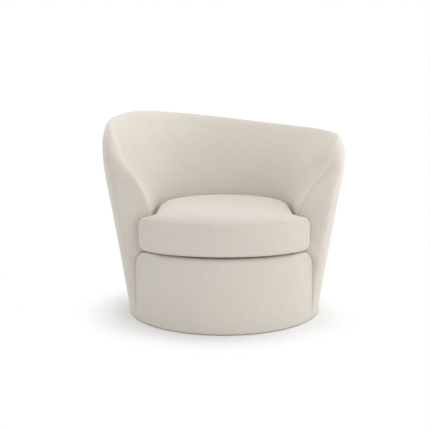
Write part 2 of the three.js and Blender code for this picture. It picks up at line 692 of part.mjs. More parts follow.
function springGeometry(x) {
  const { front, back } = springSpan(x);
  const bends = 2 * Math.round((back - front) / SPRING_PITCH / 2);
  const points = [];
  const steps = bends * STEPS_PER_BEND;
  for (let i = 0; i <= steps; i += 1) {
    const share = i / steps;
    const swing = Math.cos((Math.PI * i) / STEPS_PER_BEND);
    const side = Math.sign(swing) * Math.pow(Math.abs(swing), 0.6);
    const rise = SPRING_RISE * Math.sin(Math.PI * share);
    points.push(new THREE.Vector3(x + SPRING_HALF_WIDTH * side, mix(front, back, share),
      WIRE_CENTRE + rise));
  }
  points.unshift(new THREE.Vector3(x - SPRING_SEAT, front, WIRE_CENTRE));
  points.push(new THREE.Vector3(x - SPRING_SEAT, back, WIRE_CENTRE));
  const path = new THREE.CatmullRomCurve3(points);
  const section = new THREE.Shape(circlePoints(SPRING_WIRE / 2, WIRE_SIDES));
  return new THREE.ExtrudeGeometry(section,
    { steps: points.length - 1, extrudePath: path, bevelEnabled: false });
}

// Spring clip: a bent strap that hooks over the end bar of a spring
function clipGeometry(facing) {
  const loop = SPRING_WIRE + 2 * GAP;
  const outline = [
    [CLIP_INSET / 2, 0],
    [-loop - CLIP_SHEET, 0],
    [-loop - CLIP_SHEET, loop + 2 * CLIP_SHEET],
    [loop / 2, loop + 2 * CLIP_SHEET],
    [loop / 2, loop + CLIP_SHEET],
    [-loop, loop + CLIP_SHEET],
    [-loop, CLIP_SHEET],
    [CLIP_INSET / 2, CLIP_SHEET],
  ].map(([y, z]) => new THREE.Vector2(facing * y, z));
  if (facing > 0) outline.reverse();
  const flat = new THREE.ExtrudeGeometry(new THREE.Shape(outline),
    { depth: CLIP_WIDTH, bevelEnabled: false });
  return flat.translate(0, 0, -CLIP_WIDTH / 2).rotateX(Math.PI / 2).rotateZ(Math.PI / 2);
}

function buildSprings() {
  for (let i = 0; i < SPRING_COUNT; i += 1) {
    const x = (i - (SPRING_COUNT - 1) / 2) * SPRING_SPACING;
    const { front, back } = springSpan(x);
    addPiece(`seat_spring_${i + 1}`, springGeometry(x), STEEL);
    const height = RAIL_TOP + GAP;
    addPiece(`front_clip_${i + 1}`, clipGeometry(1), STEEL,
      { position: new THREE.Vector3(x + CLIP_WIDTH / 2, front, height) });
    addPiece(`back_clip_${i + 1}`, clipGeometry(-1), STEEL,
      { position: new THREE.Vector3(x + CLIP_WIDTH / 2, back, height) });
  }
}

// Plan outline of the well, from the front edge on the left round the back to the right
const WELL_STEPS = 22;
function wellOutline(halfWidth, frontY) {
  const front = degrees(Math.atan2(halfWidth, frontY));
  const points = [];
  for (let i = 0; i <= WELL_STEPS; i += 1) {
    const angle = mix(-front, front, i / WELL_STEPS);
    const point = polar(angle, wellRadius(angle, halfWidth), 0);
    points.push(new THREE.Vector2(point.x, point.y));
  }
  return points;
}

function deckGeometry() {
  const reach = DRUM_RADIUS - COVER_THICKNESS - FIT - APRON_LIP;
  const halfAngle = degrees(Math.asin((WELL_HALF_WIDTH - GAP) / reach));
  const outline = wellOutline(WELL_HALF_WIDTH - GAP - FIT, FIT - reach * cosd(halfAngle));
  const steps = 14;
  for (let i = 0; i <= steps; i += 1) {
    const point = polar(180 + mix(-halfAngle, halfAngle, i / steps), reach, 0);
    outline.push(new THREE.Vector2(point.x, point.y));
  }
  return plate(outline, DECK_THICKNESS);
}

// Rim roll and arm facings: soft bands with a full face and a flat seat behind it.
// An arm's face is round towards the outside and falls a little towards the crease.
const FACE_STEPS = 9;
const FACE_OUTER_ROUNDING_SHARE = 0.26;
const FACE_INNER_ROUNDING_SHARE = 0.1;
const FACE_FALL_SHARE = 0.45;
function faceShares(i) {
  const across = (1 - cosd((180 * i) / FACE_STEPS)) / 2;
  const fromOuter = 1 - clamp01(across / FACE_OUTER_ROUNDING_SHARE);
  const fromInner = 1 - clamp01((1 - across) / FACE_INNER_ROUNDING_SHARE);
  const rounding = Math.sqrt(1 - fromOuter * fromOuter) * Math.sqrt(1 - fromInner * fromInner);
  return { across, out: rounding * (1 - FACE_FALL_SHARE * across) };
}

function facePoint(outer, inner, outward, crown, i) {
  const { across, out } = faceShares(i);
  return outer.clone().lerp(inner, across).addScaledVector(outward, crown * out);
}

function faceRing(outer, inner, outward, crown, backs) {
  const ring = [];
  for (let i = 0; i <= FACE_STEPS; i += 1) {
    ring.push(facePoint(outer, inner, outward, crown, i));
  }
  return [...ring, ...backs];
}

// How far the inside wall leans out for each millimetre of height
const LEAN_PROBE = 4;
function innerLean(angle, height) {
  return (innerRadius(angle, height) - innerRadius(angle, height - LEAN_PROBE)) / LEAN_PROBE;
}

// The rim's section leaves both walls along their own slope and turns over between them
function rimCurve(station, outer, inner, forward) {
  const rise = sind(station.turn);
  const ahead = forward.clone().multiplyScalar(cosd(station.turn));
  const lean = innerLean(station.innerAngle, station.innerHeight);
  const alongWall = new THREE.Vector3(inner.x, inner.y, 0).setLength(lean);
  alongWall.z = 1;
  alongWall.setLength(rise);
  const upright = new THREE.Vector3(0, 0, rise);
  return new THREE.CubicBezierCurve3(
    outer,
    outer.clone().addScaledVector(upright.add(ahead), ROLL_OUTER_REACH),
    inner.clone().addScaledVector(alongWall.add(ahead), ROLL_INNER_REACH),
    inner,
  );
}

function forwardOf(outer, inner) {
  const across = outer.clone().sub(inner);
  const forward = new THREE.Vector3(across.y, -across.x, 0).normalize();
  return forward.y > 0 ? forward.negate() : forward;
}

// With some ease the same forms are cutters, which seat the cover and lining against them
function spread(outer, inner, ease) {
  const across = outer.clone().sub(inner).setLength(ease);
  outer.add(across);
  inner.sub(across);
}

const FACE_FADE_RISE = 0.68;
function rimRoll(ease = 0) {
  const crownTop = (ROLL_OUTER_DROP + ROLL_INNER_DROP) / 2;
  const rings = edgeStations().map((station) => {
    const outer = outerPoint(station, 0);
    const inner = innerPoint(station, 0);
    const forward = forwardOf(outer, inner);
    const rise = sind(station.turn);
    const outward = forward.clone().multiplyScalar(cosd(station.turn));
    outward.z = rise;
    const crown = mix(FACE_CROWN, crownTop, rise * rise);
    const depth = EDGE_DEPTH + (ease > 0 ? GAP : 0);
    const innerBack = innerPoint(station, depth);
    const outerBack = outerPoint(station, depth);
    if (ease > 0) {
      spread(outer, inner, ease);
      spread(outerBack, innerBack, ease);
    }
    const curve = rimCurve(station, outer, inner, forward);
    const fade = smooth(rise / FACE_FADE_RISE);
    const ring = [];
    for (let i = 0; i <= FACE_STEPS; i += 1) {
      const face = facePoint(outer, inner, outward, crown, i);
      ring.push(face.lerp(curve.getPoint(i / FACE_STEPS), fade));
    }
    return [...ring, innerBack, outerBack];
  });
  return solidFromRings(rings);
}

// Inner edge of an arm facing: beside the apron's seam low down, then the crease of the well
const FACING_ROWS = 14;
const SEAM_END = APRON_TOP - APRON_CORNER_DROP;
function facingStation(side, height) {
  const low = clamp01((height - SEAM_END) / (APRON_TOP - SEAM_END));
  const high = clamp01((height - APRON_TOP) / (ARM_FACE_TOP - APRON_TOP));
  const seamAngle = 180 - APRON_HALF_ANGLE - degrees(FIT / DRUM_RADIUS);
  const seam = polar(seamAngle, DRUM_RADIUS - FIT, height);
  const creaseAngle = mix(degrees(Math.atan2(WELL_HALF_WIDTH, -FACE_SETBACK)), CREASE_ANGLE,
    smooth(high));
  const crease = polar(creaseAngle, innerRadius(side * creaseAngle, height), height);
  const inner = seam.lerp(crease, smooth(low));
  const tuck = APRON_LIP_END * Math.sin(Math.PI * low);
  inner.x = side * inner.x;
  inner.y += tuck;
  const outer = polar(side * ARM_ANGLE, wallRadius(height), height);
  const depth = mix(EDGE_DEPTH_LOW, EDGE_DEPTH, smooth(low));
  return { inner, outer, depth, creaseAngle, low };
}

function armFacing(side, ease = 0) {
  const rings = [];
  const gap = ease > 0 ? GAP + FIT : 0;
  for (let i = 0; i <= FACING_ROWS; i += 1) {
    const height = mix(HEM_HEIGHT - ease, ARM_FACE_TOP - GAP + gap, i / FACING_ROWS);
    const { inner, outer, depth, low } = facingStation(side, height);
    const innerBack = inner.clone();
    innerBack.y += depth + gap;
    const radius = wallRadius(height);
    const outerBack = polar(side * (ARM_ANGLE - degrees((depth + gap) / radius)), radius, height);
    if (ease > 0) {
      spread(outer, inner, ease);
      spread(outerBack, innerBack, ease);
    }
    const crown = mix(FACE_CROWN_LOW, FACE_CROWN, smooth(low));
    rings.push(faceRing(outer, inner, forwardOf(outer, inner), crown, [innerBack, outerBack]));
  }
  return solidFromRings(rings);
}

// The facing makes room for the apron, whose end lies in front of it
function fittedFacing(side) {
  const reach = APRON_HALF_ANGLE + degrees(GAP / DRUM_RADIUS);
  const roomInner = DRUM_RADIUS - 2 * COVER_THICKNESS - APRON_LIP_END - FIT;
  const room = plate(sectorPoints(roomInner, DRUM_RADIUS + FACE_CROWN,
    180 - reach, 180 + reach, SECTOR_STEPS), APRON_TOP);
  return fromManifold(largestPart(toManifold(armFacing(side)).subtract(toManifold(room))));
}

// Outside cover: the flared wall from the hem to the rim roll, between the two facings
const COVER_ROWS = 7;
const CUTTER_EASE = 1.9;
function seatAgainstEdge(geometry) {
  let solid = toManifold(geometry).subtract(toManifold(rimRoll(CUTTER_EASE)));
  [LEFT, RIGHT].forEach((side) => {
    solid = solid.subtract(toManifold(armFacing(side, CUTTER_EASE)));
  });
  return fromManifold(largestPart(solid));
}

function largestPart(solid) {
  const parts = solid.decompose();
  return parts.sort((a, b) => b.volume() - a.volume())[0];
}

function outsideCover() {
  const depth = EDGE_DEPTH / 2;
  const rings = edgeStations().map((station) => {
    const top = station.outerHeight - depth * sind(station.turn);
    const outside = [];
    const inside = [];
    for (let i = 0; i <= COVER_ROWS; i += 1) {
      const height = mix(HEM_HEIGHT, top, i / COVER_ROWS);
      const radius = wallRadius(height);
      const edgeDepth = facingStation(station.side, height).depth / 2;
      const back = degrees((edgeDepth * cosd(station.turn)) / radius);
      const angle = station.outerAngle - station.side * back;
      outside.push(polar(angle, radius, height));
      inside.unshift(polar(angle, radius - COVER_THICKNESS, height));
    }
    return [...outside, ...inside];
  });
  return seatAgainstEdge(solidFromRings(rings, { strip: true }));
}

// Lining: the padded inside wall, made as a left arm, a back and a right arm
const LINING_ROWS = 9;
function liningColumn(station) {
  const depth = EDGE_DEPTH / 2;
  const top = innerPoint(station, depth);
  const topAngle = degrees(Math.atan2(top.x, top.y));
  const turned = Math.pow(cosd(station.turn), 3);
  const front = [];
  const back = [];
  for (let i = 0; i <= LINING_ROWS; i += 1) {
    const height = mix(LINING_BOTTOM, top.z, i / LINING_ROWS);
    const { creaseAngle } = facingStation(station.side, Math.max(height, APRON_TOP));
    const crease = polar(creaseAngle, innerRadius(station.side * creaseAngle, height), height);
    const edgeAngle = degrees(Math.atan2(crease.x, crease.y + depth));
    const topEdge = station.side * topAngle;
    const angle = station.side * mix(topEdge, Math.max(edgeAngle, topEdge), turned);
    const point = polar(angle, innerRadius(angle, height), height);
    front.push(point);
    back.unshift(point.clone().addScaledVector(wellNormal(angle), LINING_THICKNESS));
  }
  return [...front, ...back];
}

const LINING_SPLIT_STATION = 13;
function buildLining() {
  const columns = edgeStations().map(liningColumn);
  const last = columns.length - 1;
  const split = LINING_SPLIT_STATION;
  const parts = {
    lining_left: columns.slice(0, split + 1),
    lining_back: columns.slice(split, last - split + 1),
    lining_right: columns.slice(last - split),
  };
  Object.entries(parts).forEach(([name, part]) => {
    const rings = part.map((ring) => ring.map((point) => point.clone()));
    if (name !== 'lining_left') easeAlong(rings[0], rings[1]);
    if (name !== 'lining_right') easeAlong(rings.at(-1), rings.at(-2));
    addPiece(name, seatAgainstEdge(solidFromRings(rings, { strip: true })), FOAM);
  });
}

// Moves a ring half a gap towards its neighbour, which leaves a gap at a joint
function easeAlong(ring, neighbour) {
  ring.forEach((point, i) => {
    const step = neighbour[i].clone().sub(point).setLength(GAP / 2);
    point.add(step);
  });
}

// Front apron: the drum arc with a rounded top edge, whose corners fall to the arm seams
const APRON_COLUMNS = 30;
const ROUNDING_STEPS = 4;
function apronColumn(angle) {
  const past = clamp01((Math.abs(angle) - APRON_FULL_ANGLE) / (APRON_HALF_ANGLE - APRON_FULL_ANGLE));
  const near = smooth(Math.abs(angle) / APRON_FULL_ANGLE);
  const top = SEAM_END + APRON_CORNER_DROP * Math.sqrt(1 - past * past);
  const lip = mix(APRON_LIP, APRON_LIP_END, Math.pow(near, 6));
  const rounding = Math.min(APRON_ROUNDING, lip);
  const plan = 180 + angle;
  const outside = [];
  const inside = [];
  const put = (radius, height, wall, down) => {
    outside.push(polar(plan, radius, height));
    inside.unshift(polar(plan, radius - wall, height - down));
  };
  put(DRUM_RADIUS, HEM_HEIGHT, COVER_THICKNESS, 0);
  put(DRUM_RADIUS, mix(HEM_HEIGHT, top - rounding, 0.5), COVER_THICKNESS, 0);
  for (let i = 0; i <= ROUNDING_STEPS; i += 1) {
    const turn = (QUARTER_TURN * i) / ROUNDING_STEPS;
    put(DRUM_RADIUS - rounding + rounding * cosd(turn), top - rounding + rounding * sind(turn),
      COVER_THICKNESS * cosd(turn), COVER_THICKNESS * sind(turn));
  }
  put(DRUM_RADIUS - COVER_THICKNESS - lip, top, 0, COVER_THICKNESS);
  return [...outside, ...inside];
}

function frontApron() {
  const rings = [];
  for (let i = 0; i <= APRON_COLUMNS; i += 1) {
    const share = mix(-1, 1, i / APRON_COLUMNS);
    const spread = Math.sin((share * Math.PI) / 2);
    rings.push(apronColumn(APRON_HALF_ANGLE * mix(share, spread, 0.85)));
  }
  return solidFromRings(rings, { strip: true });
}

// Seat cushion: T-shaped plan, boxed sides that draw in a little, and a crowned top
const CUSHION_BOTTOM = APRON_TOP + GAP;
const ARC_STEPS = 16;
function cushionOutline() {
  const halfWidth = WELL_HALF_WIDTH - CUSHION_SIDE_GAP;
  const radius = DRUM_RADIUS + CUSHION_OVERHANG;
  const earBack = -FACE_SETBACK - FACE_CROWN - CUSHION_EAR_GAP;
  const outline = wellOutline(halfWidth, earBack);
  const earWidth = Math.sqrt(radius * radius - earBack * earBack) - CUSHION_CORNER / 2;
  const earFront = -Math.sqrt(radius * radius - earWidth * earWidth);
  outline.push(new THREE.Vector2(earWidth - CUSHION_CORNER / 2, earBack));
  outline.push(new THREE.Vector2(earWidth, (earBack + earFront) / 2));
  const half = degrees(Math.asin((earWidth - CUSHION_CORNER / 4) / radius));
  for (let i = 0; i <= ARC_STEPS; i += 1) {
    const point = polar(180 + mix(-half, half, i / ARC_STEPS), radius, 0);
    outline.push(new THREE.Vector2(point.x, point.y));
  }
  outline.push(new THREE.Vector2(-earWidth, (earBack + earFront) / 2));
  outline.push(new THREE.Vector2(-earWidth + CUSHION_CORNER / 2, earBack));
  return outline;
}

const CROWN_RING_SHARES = [[0.93, 0.5], [0.84, 0.82], [0.68, 0.97], [0.35, 1]];
function seatCushion() {
  const outline = cushionOutline();
  const centre = new THREE.Vector2();
  outline.forEach((point) => centre.add(point));
  centre.divideScalar(outline.length);
  const reach = Math.max(...outline.map((point) => point.distanceTo(centre)));
  const inset = (distance, height) => outline.map((point) => {
    const share = 1 - distance / reach;
    return new THREE.Vector3(mix(centre.x, point.x, share), mix(centre.y, point.y, share), height);
  });
  const top = SEAT_SEAM_HEIGHT;
  const edge = CUSHION_EDGE;
  const bulge = CUSHION_BULGE;
  const rings = [
    inset(bulge + edge, CUSHION_BOTTOM),
    inset(bulge + edge / 4, CUSHION_BOTTOM + edge / 4),
    inset(bulge, CUSHION_BOTTOM + edge),
    inset(0, (CUSHION_BOTTOM + top) / 2),
    inset(bulge, top - edge),
    inset(bulge + edge / 4, top - edge / 4),
    inset(bulge + edge, top),
  ];
  CROWN_RING_SHARES.forEach(([spread, rise]) => {
    rings.push(inset(reach * (1 - spread), top + CUSHION_CROWN * rise));
  });
  return solidFromRings(rings);
}

buildBase();
buildTurntable();
buildSeatFrame();
buildRibs();
[LEFT, RIGHT].forEach((side) => addPiece(sideName('arm_board', side), armBoard(side), PLY));
addPiece('top_rail', topRail(), PLY);
buildSprings();
addPiece('deck_pad', deckGeometry(), FOAM, at(DECK_BOTTOM));
buildLining();
[LEFT, RIGHT].forEach((side) => addPiece(sideName('arm_facing', side), fittedFacing(side),
  CLOTH));
addPiece('rim_roll', rimRoll(), CLOTH);
addPiece('outside_cover', outsideCover(), CLOTH);
addPiece('front_apron', frontApron(), CLOTH);
addPiece('seat_cushion', seatCushion(), CLOTH);

export default chair;
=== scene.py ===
"""Looks of a swivel barrel chair: linen upholstery over a flared shell with a sloping rim.

Metres, +Z up, front towards -Y, with the origin on the swivel axis at the floor. Plan angles
are in degrees from the middle of the back, and grow towards the right arm.
"""

import logging
import math
from dataclasses import dataclass, field
from enum import Enum
from functools import cached_property
from typing import Callable

import bmesh
import bpy
import numpy as np
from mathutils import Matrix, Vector, kdtree, noise


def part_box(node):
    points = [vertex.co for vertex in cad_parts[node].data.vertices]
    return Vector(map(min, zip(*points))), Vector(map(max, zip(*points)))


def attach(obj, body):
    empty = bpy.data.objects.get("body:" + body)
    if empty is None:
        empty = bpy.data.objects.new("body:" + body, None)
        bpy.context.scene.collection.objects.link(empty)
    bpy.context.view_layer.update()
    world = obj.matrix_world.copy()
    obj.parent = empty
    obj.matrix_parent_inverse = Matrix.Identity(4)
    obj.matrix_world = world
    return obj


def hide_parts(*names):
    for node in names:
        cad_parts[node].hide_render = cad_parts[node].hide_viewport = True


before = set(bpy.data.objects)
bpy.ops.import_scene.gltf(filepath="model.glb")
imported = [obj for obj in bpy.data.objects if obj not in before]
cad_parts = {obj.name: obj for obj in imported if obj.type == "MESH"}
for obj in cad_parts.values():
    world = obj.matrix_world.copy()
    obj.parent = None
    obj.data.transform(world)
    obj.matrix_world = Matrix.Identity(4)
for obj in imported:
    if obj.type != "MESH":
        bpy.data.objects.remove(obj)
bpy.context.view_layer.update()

LOG = logging.getLogger("barrel_chair")
CLOTH_MAP = "cloth"
# Vertex attribute: each point's distance from its nearest seam. It dips the seams and also drives
# the painted shade along them.
SEAM_GAP = "seam_gap"
SEAM_SAMPLE = 0.0005
FAR = 0.5
PUCKER_RATE = 34.0
PUCKER_REACH = 0.018
GIVE = 0.0006
GIVE_RATE = 9.0
JOIN_REACH = 0.006
LEAN_STEP = 0.004
SEAM_STEPS = 60
UP = Vector((0.0, 0.0, 1.0))
WHITE = (1.0, 1.0, 1.0, 1.0)
LEVEL_LOOK = 0.75
LEAST_TURN_RADIUS = 0.2
# A wave texture of scale 1 repeats after this many metres.
WAVE_PERIOD = 0.314159
Place = Callable[[float, float], Vector]
Pair = tuple[float, float]
Triple = tuple[float, float, float]
Socket = bpy.types.NodeSocket


class PlyAxis(Enum):
    """The direction in which a board's plies are stacked."""

    UP = "up"
    DEPTH = "depth"
    OUTWARD = "outward"
    ROUND = "round"


class Side(Enum):
    """The sitter's view of an arm, as a sign on x."""

    LEFT = -1
    RIGHT = 1


def mix(start: float, end: float, share: float) -> float:
    """Return the value a share of the way from start to end."""
    return start + (end - start) * share


def clamp(value: float) -> float:
    """Return the value held between 0 and 1."""
    return min(max(value, 0.0), 1.0)


def smooth(value: float) -> float:
    """Return an eased share with level ends."""
    share = clamp(value)
    return share * share * (3 - 2 * share)


def cosd(angle: float) -> float:
    """Return the cosine of an angle in degrees."""
    return math.cos(math.radians(angle))


def sind(angle: float) -> float:
    """Return the sine of an angle in degrees."""
    return math.sin(math.radians(angle))


def polar(angle: float, radius: float, height: float) -> Vector:
    """Return a point from its plan angle, radius and height."""
    return Vector((radius * sind(angle), radius * cosd(angle), height))


@dataclass(frozen=True)
class Edge:
    """Outer and inner end of the band that turns over the edge of the shell."""

    turn: float
    outer_angle: float
    outer_height: float
    inner_angle: float
    inner_height: float


@dataclass(frozen=True)
class ShellForm:
    """The driving form of the upholstered shell, shared by every cover on it."""

    drum_radius: float = 0.370
    shell_radius: float = 0.462
    widest_height: float = 0.640
    rim_high: float = 0.768
    rim_low: float = 0.699
    dip_high: float = 0.050
    dip_low: float = 0.030
    dip_power: float = 1.6
    hem: float = 0.0022
    apron_top: float = 0.2697
    seat_seam: float = 0.388
    arm_face_top: float = 0.495
    well_half_width: float = 0.269
    well_centre: float = 0.016
    well_top_radius: float = 0.406
    face_setback: float = 0.190
    roll_outer_drop: float = 0.080
    roll_inner_drop: float = 0.045
    apron_corner_drop: float = 0.056
    arm_angle: float = 116.8
    corner_angle: float = 21.8
    crease_angle: float = 124.0
    rim_turn_angle: float = 60.0
    dip_start_angle: float = 48.0
    apron_half_angle: float = 62.8
    apron_full_angle: float = 48.8
    ledge_drop: float = 0.014
    apron_overlap: float = 0.0015
    draw_from: float = 111.0
    draw_full_height: float = 0.13
    draw_fade: float = 0.21
    draw_share: float = 0.55
    flare_end_share: float = 0.8125
    flare_power: float = 1.08
    lean_power: float = 1.5
    lean_arm_from: float = 65.0
    lean_arm_to: float = 112.0
    arm_lean_below_rim: float = 0.095

    def wall_radius(self, height: float) -> float:
        """Return the outside's radius at a height, where it is upright at its widest."""
        end = self.flare_end_share * self.widest_height
        easing = self.widest_height - end
        cone = (self.shell_radius - self.drum_radius) / (1 + self.flare_power * easing / (2 * end))
        if height < end:
            share = max(height, 0.0) / end
            return self.drum_radius + cone * share**self.flare_power
        past = min(height - end, easing)
        slope = self.flare_power * cone / end
        return self.drum_radius + cone + slope * (past - past * past / (2 * easing))

    def side_radius(self, angle: float, height: float) -> float:
        """Return the outside radius, drawn in a little beside the lower apron seams."""
        wall = self.wall_radius(height)
        forward = clamp((abs(angle) - self.draw_from) / (self.arm_angle - self.draw_from))
        low = 1 - smooth((height - self.draw_full_height) / self.draw_fade)
        return wall - (wall - self.drum_radius) * self.draw_share * forward**2 * low

    def rim_height(self, angle: float) -> float:
        """Return the height of the rim, high on the left and low on the right."""
        turn = smooth((self.rim_turn_angle + angle) / (2 * self.rim_turn_angle))
        reach = self.arm_angle - self.corner_angle - self.dip_start_angle
        dip = clamp((abs(angle) - self.dip_start_angle) / reach)
        depth = self.dip_high if angle < 0 else self.dip_low
        return mix(self.rim_high, self.rim_low, turn) - depth * dip**self.dip_power

    def well_radius(self, angle: float) -> float:
        """Return the radius of the seat well: a round back with straight sides."""
        reach = self.well_centre * sind(angle)
        centred = self.well_centre * cosd(angle)
        radius = centred + math.sqrt(self.well_half_width**2 - reach * reach)
        if radius * cosd(angle) >= self.well_centre:
            return radius
        return self.well_half_width / abs(sind(angle))

    def inner_radius(self, angle: float, height: float) -> float:
        """Return the radius of the inside wall, which leans out steadily to the rim."""
        above = height - self.seat_seam
        rise = self.rim_height(angle) - self.seat_seam
        back = clamp(above / (rise - self.roll_inner_drop)) ** self.lean_power
        arm = smooth(above / (rise - self.arm_lean_below_rim))
        turn = smooth((abs(angle) - self.lean_arm_from) / (self.lean_arm_to - self.lean_arm_from))
        return mix(self.well_radius(angle), self.well_top_radius, mix(back, arm, turn))

    def inner_lean(self, angle: float, height: float) -> float:
        """Return how far the inside wall leans out for each metre of height."""
        lower = self.inner_radius(angle, height - LEAN_STEP)
        return (self.inner_radius(angle, height) - lower) / LEAN_STEP

    def edge(self, side: int, turn: float) -> Edge:
        """Return the edge's ends on an arm corner, from turn 0 on its face to 90 at the rim."""
        rim = self.arm_angle - self.corner_angle
        top = self.rim_height(side * rim)
        swing = 1 - cosd(turn)
        rise = sind(turn)
        return Edge(
            turn,
            side * mix(self.arm_angle, rim, swing),
            mix(self.arm_face_top, top - self.roll_outer_drop, rise),
            side * mix(self.crease_angle, rim, swing),
            mix(self.arm_face_top, top - self.roll_inner_drop, rise),
        )

    def rim_edge(self, angle: float) -> Edge:
        """Return the edge's ends on the rim at a plan angle."""
        top = self.rim_height(angle)
        outer = top - self.roll_outer_drop
        return Edge(90.0, angle, outer, angle, top - self.roll_inner_drop)

    def crease(self, height: float) -> float:
        """Return the plan angle of the crease inside an arm's front face at a height."""
        start = math.degrees(math.atan2(self.well_half_width, -self.face_setback))
        high = clamp((height - self.apron_top) / (self.arm_face_top - self.apron_top))
        return mix(start, self.crease_angle, smooth(high))

    def face_edge(self, side: int, height: float) -> tuple[Vector, Vector]:
        """Return the outer edge and the crease of an arm's front face at a height.

        Args:
            side: Sign of x.
            height: Height above the floor.

        Returns:
            Outer point and inner point.
        """
        ledge = self.apron_top - self.ledge_drop
        angle = self.crease(height)
        crease = polar(angle, self.inner_radius(side * angle, height), height)
        under = self.drum_radius - self.apron_overlap
        seam = polar(180 - self.apron_edge(min(height, ledge)), under, height)
        back = smooth((height - ledge) / self.ledge_drop)
        inner = seam.lerp(crease, back)
        inner.x = side * inner.x
        radius = self.side_radius(self.arm_angle, height)
        return polar(side * self.arm_angle, radius, height), inner

    def apron_edge(self, height: float) -> float:
        """Return how far round from the front the apron reaches at a height, in degrees."""
        rise = clamp((height - self.apron_top) / self.apron_corner_drop + 1)
        span = self.apron_half_angle - self.apron_full_angle
        return self.apron_full_angle + span * math.sqrt(1 - rise * rise)


FORM = ShellForm()


def new_mesh(name: str) -> bpy.types.Object:
    """Return an empty mesh object that is linked to the scene."""
    made = bpy.data.objects.new(name, bpy.data.meshes.new(name))
    bpy.context.scene.collection.objects.link(made)
    return made


def grid_sheet(bm: bmesh.types.BMesh, columns: int, rows: int, place: Place) -> None:
    """Add a grid to a mesh, lay it on a surface and lay its threads along it.

    Args:
        bm: Mesh that receives the grid.
        columns: Number of faces across.
        rows: Number of faces along.
        place: Gives the surface point from two shares, 0 to 1.
    """
    threads = bm.loops.layers.uv.verify()
    made = bmesh.ops.create_grid(
        bm, x_segments=columns, y_segments=rows, size=0.5, calc_uvs=False
    )
    lines = np.zeros((rows + 1, columns + 1, 3))
    spot = {}
    for vert in made["verts"]:
        across = clamp(vert.co.x + 0.5)
        along = clamp(vert.co.y + 0.5)
        vert.co = place(across, along)
        spot[vert] = (round(along * rows), round(across * columns))
        lines[spot[vert]] = vert.co
    warp = np.linalg.norm(np.diff(lines, axis=0), axis=2).cumsum(axis=0)
    warp = np.vstack([np.zeros((1, columns + 1)), warp])
    weft = np.linalg.norm(np.diff(lines[rows // 2], axis=0), axis=1).cumsum()
    weft = np.concatenate([[0.0], weft])
    for vert, (row, column) in spot.items():
        for loop in vert.link_loops:
            loop[threads].uv = (weft[column], warp[row, column])


def face_out(bm: bmesh.types.BMesh, eye: Vector) -> None:
    """Turn every face of a sheet the same way, with the one nearest to an eye looking at it."""
    bmesh.ops.recalc_face_normals(bm, faces=bm.faces)
    bm.faces.ensure_lookup_table()
    near = min(bm.faces, key=lambda face: (face.calc_center_median() - eye).length)
    if near.normal.dot(eye - near.calc_center_median()) < 0:
        bmesh.ops.reverse_faces(bm, faces=bm.faces)


def finish_mesh(
    made: bpy.types.Object, bm: bmesh.types.BMesh, material: bpy.types.Material
) -> None:
    """Write a bmesh to an object with smooth faces and one material, and free it."""
    for face in bm.faces:
        face.smooth = True
    bm.to_mesh(made.data)
    bm.free()
    if made.data.uv_layers:
        made.data.uv_layers[0].name = CLOTH_MAP
    made.data.materials.append(material)
    LOG.info("%s: %d faces", made.name, len(made.data.polygons))


def cloth_sheet(
    name: str,
    material: bpy.types.Material,
    eye: Vector,
    *grids: tuple[int, int, Place],
    meet: float = 0.00001,
) -> bpy.types.Object:
    """Make a piece of cloth from grids that are joined where they meet.

    Args:
        name: Name of the piece.
        material: Finish of the piece.
        eye: Point that the nearest face looks at.
        grids: Columns, rows and surface of each grid.
        meet: Distance within which points are joined.

    Returns:
        The sheet, without its thickness.
    """
    made = new_mesh(name)
    bm = bmesh.new()
    for columns, rows, place in grids:
        grid_sheet(bm, columns, rows, place)
    bmesh.ops.remove_doubles(bm, verts=bm.verts, dist=meet)
    face_out(bm, eye)
    finish_mesh(made, bm, material)
    return made


def read_places(made: bpy.types.Object, kind: str = "co") -> np.ndarray:
    """Return a mesh object's vertices, or their normals, as rows of x, y and z."""
    flat = np.zeros(len(made.data.vertices) * 3, np.float32)
    made.data.vertices.foreach_get(kind, flat)
    return flat.reshape(-1, 3).astype(float)


def write_places(made: bpy.types.Object, place: np.ndarray) -> None:
    """Set a mesh object's vertices from rows of x, y and z."""
    made.data.vertices.foreach_set("co", place.astype(np.float32).ravel())
    made.data.update()


def mark_seams(made: bpy.types.Object, gap: np.ndarray) -> None:
    """Write how far each vertex lies from its nearest seam, in metres."""
    layer = made.data.attributes.new(SEAM_GAP, "FLOAT", "POINT")
    layer.data.foreach_set("value", gap.astype(np.float32))


def seam_gaps(made: bpy.types.Object, lines: list[list[Vector]]) -> np.ndarray:
    """Return each vertex's distance from the nearest of some seam lines.

    Args:
        made: Mesh object.
        lines: Seam lines as points in order.

    Returns:
        One distance for each vertex, FAR where there is no line.
    """
    points = []
    for line in lines:
        for here, there in zip(line, line[1:]):
            count = max(round((there - here).length / SEAM_SAMPLE), 1)
            points += [here.lerp(there, i / count) for i in range(count + 1)]
    if not points:
        return np.full(len(made.data.vertices), FAR)
    tree = kdtree.KDTree(len(points))
    for i, point in enumerate(points):
        tree.insert(point, i)
    tree.balance()
    return np.array([min(tree.find(vert.co)[2], FAR) for vert in made.data.vertices])


